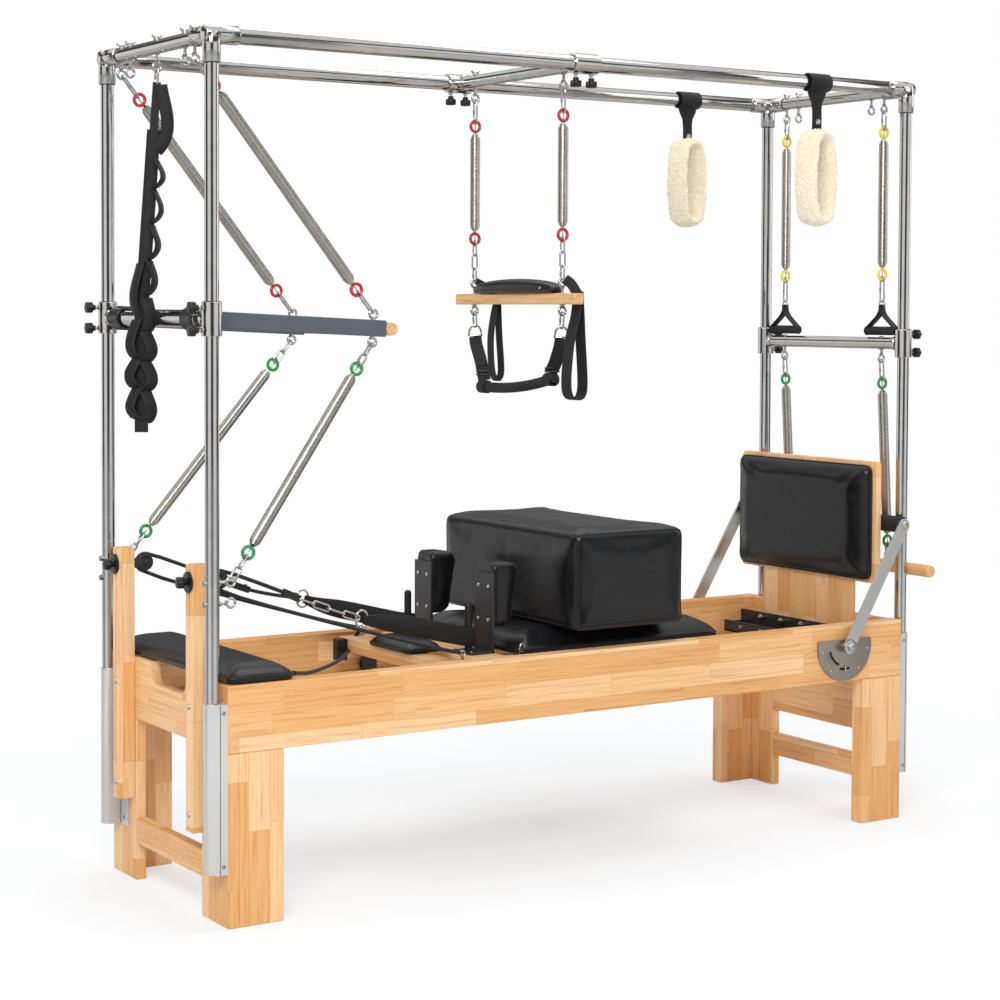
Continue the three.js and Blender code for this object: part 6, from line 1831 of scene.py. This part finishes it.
# Jump board, spring bar and foot bar, which turns in the middle of its quadrants
QUADRANT_X, QUADRANT_Z = 0.871, 0.530


def make_jump_board():
    front, thickness, corner = 1.029, 0.022, 0.012
    neck, wide = 0.200, 0.306
    low, waist, top = 0.456, 0.695, 1.055
    outline = [(-neck, low), (neck, low), (neck, waist), (wide - corner, waist)]
    for way, height, start in (
        (1, waist + corner, -90), (1, top - corner, 0), (-1, top - corner, 90), (-1, waist + corner, 180),
    ):
        outline += arc(way * (wide - corner), height, corner, start, start + 90, 5)
    outline += [(-neck, waist)]
    board = plate([outline], thickness, plane_at_x(front + thickness / 2), 0.002)
    name = "jump_board"
    piece("jump_board_timber", [board], WOOD_Z, name, [name])
    places = [(front + thickness, y, z) for y in (-0.24, 0.0, 0.24) for z in (0.74, 1.01)]
    heads = [screw(at, (1, 0, 0), 0.006, 0.0025) for at in places]
    piece("jump_board_screws", heads, ZINC, name)


def make_spring_bar():
    front, back, half, low, top = 1.0227, 1.0287, 0.3017, 0.492, 0.552
    beam_half, beam_depth, sheet = half - 0.030, 0.092, 0.006
    beam_front, beam_face = front - beam_depth, front - beam_depth + sheet
    forms = [
        box((front, -half, low), (back, half, top)),
        box((beam_front, -beam_half, low), (front + SUNK, beam_half, low + sheet)),
        box((beam_front, -beam_half, low), (beam_face, beam_half, low + 0.036)),
    ]
    for sign in (-1, 1):
        y = span(sign, beam_half - sheet, beam_half)
        forms.append(box((beam_face, y[0], low), (front, y[1], low + 0.030)))
    piece("spring_bar_plate", forms, BLACK_PAINT, "frame", ["spring_bar"], 0.001)
    stud = [(0.0055, 0), (0.0055, 0.009), (0.0088, 0.011), (0.0088, 0.016), (0.006, 0.018)]
    stud_count, stud_gap = 5, 0.095
    studs = []
    for i in range(stud_count):
        y = (i - 2) * stud_gap
        studs.append(turned(stud, (front, y, top - 0.014), (-1, 0, 0), 20))
        studs.append(hex_nut((beam_front, y, low + 0.022), (-1, 0, 0), 0.006, 0.005))
    piece("spring_bar_studs", studs, CHROME, "frame")


def make_foot_bar():
    bar_x, bar_z, bar_radius = POST_X - POST_RADIUS - 0.024 - 0.0015, 0.872, 0.024
    arm_line, arm_thickness, arm_half = 0.370, 0.008, 0.0190
    x, z = QUADRANT_X, QUADRANT_Z
    along = Vector((bar_x - x, 0, bar_z - z))
    length, angle = along.length, math.atan2(along.z, along.x)
    outline = arc(0, 0, arm_half, 90, 270, 14) + arc(length, 0, arm_half, -90, 90, 14)
    # Profiles of what holds each arm: washer and bolt head at the pivot, and the cap of the bar
    washer = [(0.020, 0), (0.022, 0.001), (0.022, 0.0042), (0.020, 0.005), (0.012, 0.005)]
    head = [(0.011, 0), (0.011, 0.005), (0.0098, 0.0068), (0.0075, 0.008)]
    head += [(0.005, 0.008), (0.005, 0.004), (0.001, 0.004)]
    cap = [(0.010, 0), (0.0105, 0.0008), (0.009, 0.0035), (0.005, 0.004), (0.0045, 0.002), (0.001, 0.002)]
    arms, bolts = [], []
    for side, sign in SIDES:
        place = Matrix.Translation((x, sign * arm_line, z)) @ Matrix.Rotation(-angle, 4, "Y") @ plane_at_y(
            0
        )
        arms.append(plate([outline], arm_thickness, place, 0.0012))
        face, out = sign * (arm_line + arm_thickness / 2), (0, sign, 0)
        bolts.append(turned(washer, (x, face, z), out, 40))
        bolts.append(turned(head, (x, sign * (arm_line + 0.009), z), out, 32))
        bolts.append(rod((x, sign * 0.3536, z), (x, sign * arm_line, z), 0.011, 24))
        bolts.append(turned(cap, (bar_x, face, bar_z), out, 28))
        make_quadrant(side, sign)
    body = "foot_bar"
    piece("foot_bar_arms", arms, BRUSHED, body, ["foot_bar"], sharp=20)
    piece("foot_bar_bolts", bolts, ZINC, body)
    inner = arm_line - arm_thickness / 2
    rim = [(0.018, 0), (bar_radius - 0.002, 0.0006), (bar_radius, 0.003)]
    rim += [(radius, 2 * inner - height) for radius, height in reversed(rim)]
    foam = turned(rim, (bar_x, -inner, bar_z), (0, 1, 0), TUBE_SIDES)
    cover = piece("foot_bar_foam", [foam], FOAM, body)


def make_quadrant(side, sign):
    """The half-round plate that the foot bar turns on, with two curved slots and four screws."""
    x, z, radius, rise, thickness = QUADRANT_X, QUADRANT_Z, 0.102, 0.019, 0.006
    slot_line, pin_line, slot_half, screw_line = 0.057, 0.067, 0.0032, 0.086
    slot_shade_thickness, pin_radius, pin_half, pin_proud = 0.002, 0.0025, 0.011, 0.0026
    edge_angle = math.degrees(math.asin(rise / radius))
    rim = arc(x, z, radius - 0.0005, -180 - edge_angle, edge_angle, 48)
    holes = []
    for start, end, line in ((-168, -112, slot_line), (-106, -74, pin_line)):
        outer = arc(x, z, line + slot_half, start, end, 12)
        holes.append(outer + arc(x, z, line - slot_half, end, start, 12))
    inner_face = BED_SIDE + PLAY
    form = plate([rim, *holes], thickness, plane_at_y(sign * (inner_face + thickness / 2)), 0.0009)
    name = f"{side}_quadrant"
    piece(name, [form], QUADRANT_STEEL, "frame", [f"{name}_plate"], sharp=30)
    # Painted shade: a dark plate fills the inner part of each slot, standing in for the shade in the slot's
    # depth
    slot_shade_plane = plane_at_y(sign * (inner_face + 0.0001 + slot_shade_thickness / 2))
    slot_shade_plates = [plate([hole], slot_shade_thickness, slot_shade_plane, 0.0003) for hole in holes]
    piece(f"{name}_slot_painted_shade", slot_shade_plates, RUBBER_AND_PAINTED_SHADE, "frame")
    face = sign * (inner_face + thickness)
    # The pin in the short slot is a crossbar on a stem
    y, pin_z = face + sign * pin_proud, z - pin_line
    heads = [rod((x, y, pin_z - pin_half), (x, y, pin_z + pin_half), pin_radius, 14)]
    heads.append(rod((x, y - sign * 0.006, pin_z), (x, y, pin_z), pin_radius, 14))
    for angle in (-172, -128, -52, -8):
        turn = math.radians(angle)
        at = (x + screw_line * math.cos(turn), face, z + screw_line * math.sin(turn))
        heads.append(screw(at, (0, sign, 0), 0.0055, 0.003))
    piece(f"{name}_screws", heads, ZINC, "frame")


# Ropes: each from the carriage round its pulley to a buckle, with a webbing loop round the peg.
# A route's rows are places along it in metres, for the far side; the near side is mirrored.
ROPE_RADIUS = 0.005
ROPE_START = [
    (-0.3918, 0.268, 0.603), (-0.460, 0.264, 0.620), (-0.560, 0.258, 0.648), (-0.680, 0.251, 0.683),
    (-0.800, 0.243, 0.719), (-0.920, 0.234, 0.756), (-1.010, 0.227, 0.786),
]
ROPE_RETURN = [
    (-1.020, 0.222, 0.843), (-0.950, 0.220, 0.816), (-0.880, 0.217, 0.788), (-0.835, 0.215, 0.768),
]
# The far rope runs on through its buckle to the D-ring; the near one has a chain there
FAR_LEAD = [(-0.765, 0.214, 0.741), (-0.690, 0.213, 0.722), (-0.615, 0.213, 0.708)]
HAND_LOOP_WAY = [
    (-0.540, 0.208, 0.683), (-0.440, 0.197, 0.658), (-0.360, 0.182, 0.638), (-0.318, 0.174, 0.628),
    (-0.292, 0.172, 0.624), (-0.279, 0.165, 0.623),
]
HAND_LOOP_BACK = [
    (-0.279, 0.151, 0.623), (-0.292, 0.144, 0.624), (-0.318, 0.146, 0.628), (-0.360, 0.156, 0.637),
    (-0.440, 0.178, 0.657), (-0.540, 0.200, 0.682),
]
# Where each hand loop's D-ring sits
D_RINGS = {"near": (-0.655, 0.213, 0.703), "far": (-0.600, 0.213, 0.705)}
TAIL_ROUTE = [
    (-0.3918, 0.268, 0.593), (-0.408, 0.264, 0.574), (-0.430, 0.246, 0.553), (-0.470, 0.200, 0.543),
    (-0.540, 0.120, 0.541), (-0.640, 0.005, 0.549), (-0.760, -0.125, 0.563), (-0.862, -0.232, 0.586),
]
# Two places along the ropes, at the carriage and at the pulleys; still_bend() reads them but does nothing
# with them
ROPE_BEND = ((-0.43, 0, 0.6), (-1.02, 0, 0.6))


def path_length(path):
    return sum((Vector(b) - Vector(a)).length for a, b in zip(path, path[1:]))


def mirrored(rows, sign):
    return [Vector((x, sign * y, z)) for x, y, z in rows]


def still_bend(made, at):
    """Bakes a rigid fitting on the rope into its mesh where it stands; it does not move with the rope."""
    at, start, end = Vector(at), Vector(ROPE_BEND[0]), Vector(ROPE_BEND[1])
    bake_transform(made)


def make_ropes():
    wrap_radius = 0.017 + ROPE_RADIUS + 0.0008
    loop_width, gathered, gather_reach = 0.050, 0.40, 0.13
    section = circle(ROPE_RADIUS, 14)
    for side, sign in SIDES:
        route = smooth_path(mirrored(ROPE_START, sign), 40)
        wrap = arc(PULLEY_X, PULLEY_HEIGHT, wrap_radius, 249, 72, 14)
        route += [Vector((x, sign * RISER_LINE, z)) for x, z in wrap]
        back = ROPE_RETURN + FAR_LEAD if sign == FAR else ROPE_RETURN
        route += smooth_path(mirrored(back, sign), 10 * (len(back) - 1))
        name, form = f"{side}_pulley_rope", swept(route, section)
        rope = piece(name, [form], BRAID, None, [f"{side}_rope"], sharp=80)
        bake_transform(rope)
        buckle = make_buckle(side, sign, route)
        x, y, z = D_RINGS[side]
        ends = [(x + 0.006, y + way * 0.003, z - 0.002) for way in (1, -1)]
        rows = [ends[0], *HAND_LOOP_WAY, *HAND_LOOP_BACK, ends[1]]
        loop_path = smooth_path(mirrored(rows, sign), 90)
        # The webbing is gathered where it passes through its D-ring
        spread = []
        for point in loop_path:
            share = min(1, max(0, (point.x - x) / gather_reach))
            spread.append(gathered + (1 - gathered) * math.sin(share * math.pi / 2))
        band = swept(loop_path, flat_section(loop_width, 0.003), up=(0, 0, 1), spread=spread)
        hand_loop = piece(f"{side}_rope_hand_loop", [band], WEBBING, None, sharp=60)
        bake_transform(hand_loop)
    # The far rope's free tail
    path = smooth_path(mirrored(TAIL_ROUTE, FAR), 60)
    tail = piece("far_rope_tail", [swept(path, section)], BRAID, None, sharp=80)
    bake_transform(tail)
    out = (path[-1] - path[-2]).normalized()
    cap = rod(path[-1] - out * 0.012, path[-1] + out * 0.003, 0.0062, 20, 0.002)
    tip = piece("far_rope_tail_end", [cap], RUBBER_AND_PAINTED_SHADE, None)
    still_bend(tip, path[-1])


def make_buckle(side, sign, route):
    """A cam buckle on the rope, the chain on the near side, and the D-ring that holds the webbing loop."""
    at_x = -0.790 if sign == FAR else -0.862
    at = min(range(len(route) // 2, len(route) - 1), key=lambda i: abs(route[i].x - at_x))
    along = (route[at + 1] - route[at - 1]).normalized()
    place = Matrix.Translation(route[at]) @ along.to_track_quat("X", "Z").to_matrix().to_4x4()
    body = [moved(box((-0.026, -0.007, -0.009), (0.026, 0.007, 0.009)), place)]
    cam = moved(turned([(0.009, 0), (0.009, 0.003), (0.007, 0.005)], (0, 0.007, 0), (0, 1, 0), 24), place)
    key = moved(rod((0.012, 0, 0.008), (0.012, 0, 0.0125), 0.0048, 18), place)
    buckle = piece(f"{side}_rope_buckle", [*body, cam], BLACK_PLASTIC, None, edge=0.003)
    lever = piece(f"{side}_rope_buckle_key", [key], CHROME, None)
    for made in (buckle, lever):
        still_bend(made, route[at])
    x, y, z = D_RINGS[side]
    ring = Vector((x, sign * y, z))
    towards = (ring - route[-1]).normalized()
    d_form = hoop(ring, (0, 1, 0), 0.0165, 0.0028, 0.014, (0, 0, 1))
    d_piece = piece(f"{side}_rope_d_ring", [d_form], CHROME, None)
    still_bend(d_piece, ring)
    links = link_chain(route[-1] - towards * 0.004, ring - towards * 0.010, 0.052)
    chain = piece(f"{side}_rope_links", links, CHROME, None)
    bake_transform(chain)
    return [buckle, lever, d_piece, chain]


# Floor, backdrop and light
def rays_that_see(tree, *kinds):
    """One for a ray of any of these kinds, else nought."""
    rays = add(tree, "LightPath").node.outputs
    seen = rays[kinds[0]]
    for kind in kinds[1:]:
        seen = add(tree, "Math", {0: seen, 1: rays[kind]}, operation="MAXIMUM")
    return seen


def make_studio():
    floor_mesh = bpy.data.meshes.new("floor")
    reach = 14.0
    floor_mesh.from_pydata(
        [(-reach, -reach, 0), (reach, -reach, 0), (reach, reach, 0), (-reach, reach, 0)], [],
        [(0, 1, 2, 3)],
    )
    floor = bpy.data.objects.new("floor", floor_mesh)
    floor.location.z = -0.0005
    bpy.context.scene.collection.objects.link(floor)
    made, tree, shader, place = finish_of("matt_white_paint", Roughness=0.9, Specular_IOR_Level=0.1)
    speck = add(tree, "TexNoise", {"Vector": place, "Scale": 3.0, "Detail": 2})
    tint = add(tree, "ValToRGB", {0: speck}, stops=ramp_of([(0.3, "#F3F7FA"), (0.7, "#F7FBFF")]))
    connect(shader, Base_Color=tint)
    # Past the object's shadow the floor fades into the white backdrop
    seen = rays_that_see(tree, "Is Camera Ray", "Is Transmission Ray")
    flat = add(tree, "Mapping", {"Vector": place, "Scale": (0.75, 1.0, 1.0)})
    distance = add(tree, "VectorMath", {0: flat}, out="Value", operation="LENGTH")
    shadow_reach, backdrop_start, least_glow = 0.9, 2.4, 0.5
    fade = {"Value": distance, 1: shadow_reach, 2: backdrop_start, 3: least_glow, 4: 1.0}
    fade = add(tree, "MapRange", fade, interpolation_type="SMOOTHSTEP")
    share = add(tree, "Math", {0: fade, 1: seen}, operation="MULTIPLY")
    white = add(tree, "Emission", {"Color": grey(1.0), "Strength": 1.0})
    mixed = add(tree, "MixShader", {0: share, 1: shader.outputs[0], 2: white})
    # Mirrored in the metal the floor lets most of the dark studio through
    mirrored_share = 0.65
    through = add(
        tree, "Math", {0: rays_that_see(tree, "Is Glossy Ray"), 1: mirrored_share}, operation="MULTIPLY",
    )
    clear = add(tree, "BsdfTransparent")
    mixed = add(tree, "MixShader", {0: through, 1: mixed, 2: clear})
    tree.links.new(mixed, tree.nodes["Material Output"].inputs["Surface"])
    floor_mesh.materials.append(made)

    world = bpy.data.worlds.new("studio")
    bpy.context.scene.world = world
    world.use_nodes = True
    tree = world.node_tree
    background = tree.nodes["Background"]
    seen = rays_that_see(tree, "Is Camera Ray", "Is Transmission Ray")
    mirrored_ray = rays_that_see(tree, "Is Glossy Ray")
    # Around the white backdrop the studio is darker in bands, which is what gives polished tube its streaks
    way = add(tree, "TexCoord", out="Generated")
    axes = add(tree, "SeparateXYZ", {0: way}).node.outputs
    round_about = add(tree, "Math", {0: axes[1], 1: axes[0]}, operation="ARCTAN2")
    bands_round = 4.0
    wave = add(tree, "Math", {0: round_about, 1: bands_round}, operation="MULTIPLY")
    wave = add(tree, "Math", {0: wave}, operation="SINE")
    wave = add(tree, "MapRange", {"Value": wave, 1: -1.0, 2: 1.0, 3: 0.0, 4: 1.0})
    streaks = [(0.0, grey(0.03)), (0.34, grey(0.30)), (0.48, grey(0.90)), (1.0, grey(1.0))]
    bands = add(tree, "ValToRGB", {0: wave}, stops=streaks)
    # A dark strip above eye level marks the level rails; over it hangs the white ceiling
    strip = [(0.16, grey(1.0)), (0.24, grey(0.06)), (0.40, grey(0.10)), (0.52, grey(0.95))]
    overhead = add(tree, "ValToRGB", {0: axes[2]}, stops=strip)
    high = add(tree, "MapRange", {"Value": axes[2], 1: 0.14, 2: 0.22, 3: 0.0, 4: 1.0})
    studio = add(tree, "MixRGB", {0: high, 1: bands, 2: overhead})
    # Below eye level lie the brown boards and the shade between them
    low = add(tree, "MapRange", {"Value": axes[2], 1: -0.12, 2: -0.30, 3: 0.0, 4: 0.55})
    studio = add(tree, "MixRGB", {0: low, 1: studio, 2: linear("#8A6F55")})
    glossy_or_diffuse = add(tree, "MixRGB", {0: mirrored_ray, 1: grey(0.70), 2: studio})
    colour = add(tree, "MixRGB", {0: seen, 1: glossy_or_diffuse, 2: grey(1.0)})
    connect(background, Color=colour)

    def soft_box(name, place, target, size, power):
        light = bpy.data.lights.new(name, "AREA")
        light.shape, light.size, light.size_y, light.energy = "RECTANGLE", size[0], size[1], power
        made = bpy.data.objects.new(name, light)
        made.location = place
        made.rotation_mode = "QUATERNION"
        made.rotation_quaternion = (Vector(target) - Vector(place)).to_track_quat("-Z", "Y")
        bpy.context.scene.collection.objects.link(made)

    soft_box("key light", (-3.7, -4.0, 4.2), (0, 0, 0.8), (2.6, 2.0), 188)
    soft_box("top light", (0.6, 0.4, 5.0), (0, 0, 0.8), (4.0, 2.4), 70)
    soft_box("side light", (4.6, -1.6, 2.6), (0, 0, 0.9), (1.6, 2.6), 25)


make_ropes()
make_bed()
make_posts()
make_rails()
make_crossbars()
make_push_bar()
make_springs()
make_trapeze()
make_hand_straps()
make_roll_bar()
make_fleece_loops()
make_loop_strap()
make_risers()
make_carriage()
make_jump_board()
make_spring_bar()
make_foot_bar()
make_cushions()
swell_cushions()
make_seams()
make_studio()

bpy.context.scene.view_settings.view_transform = "Standard"
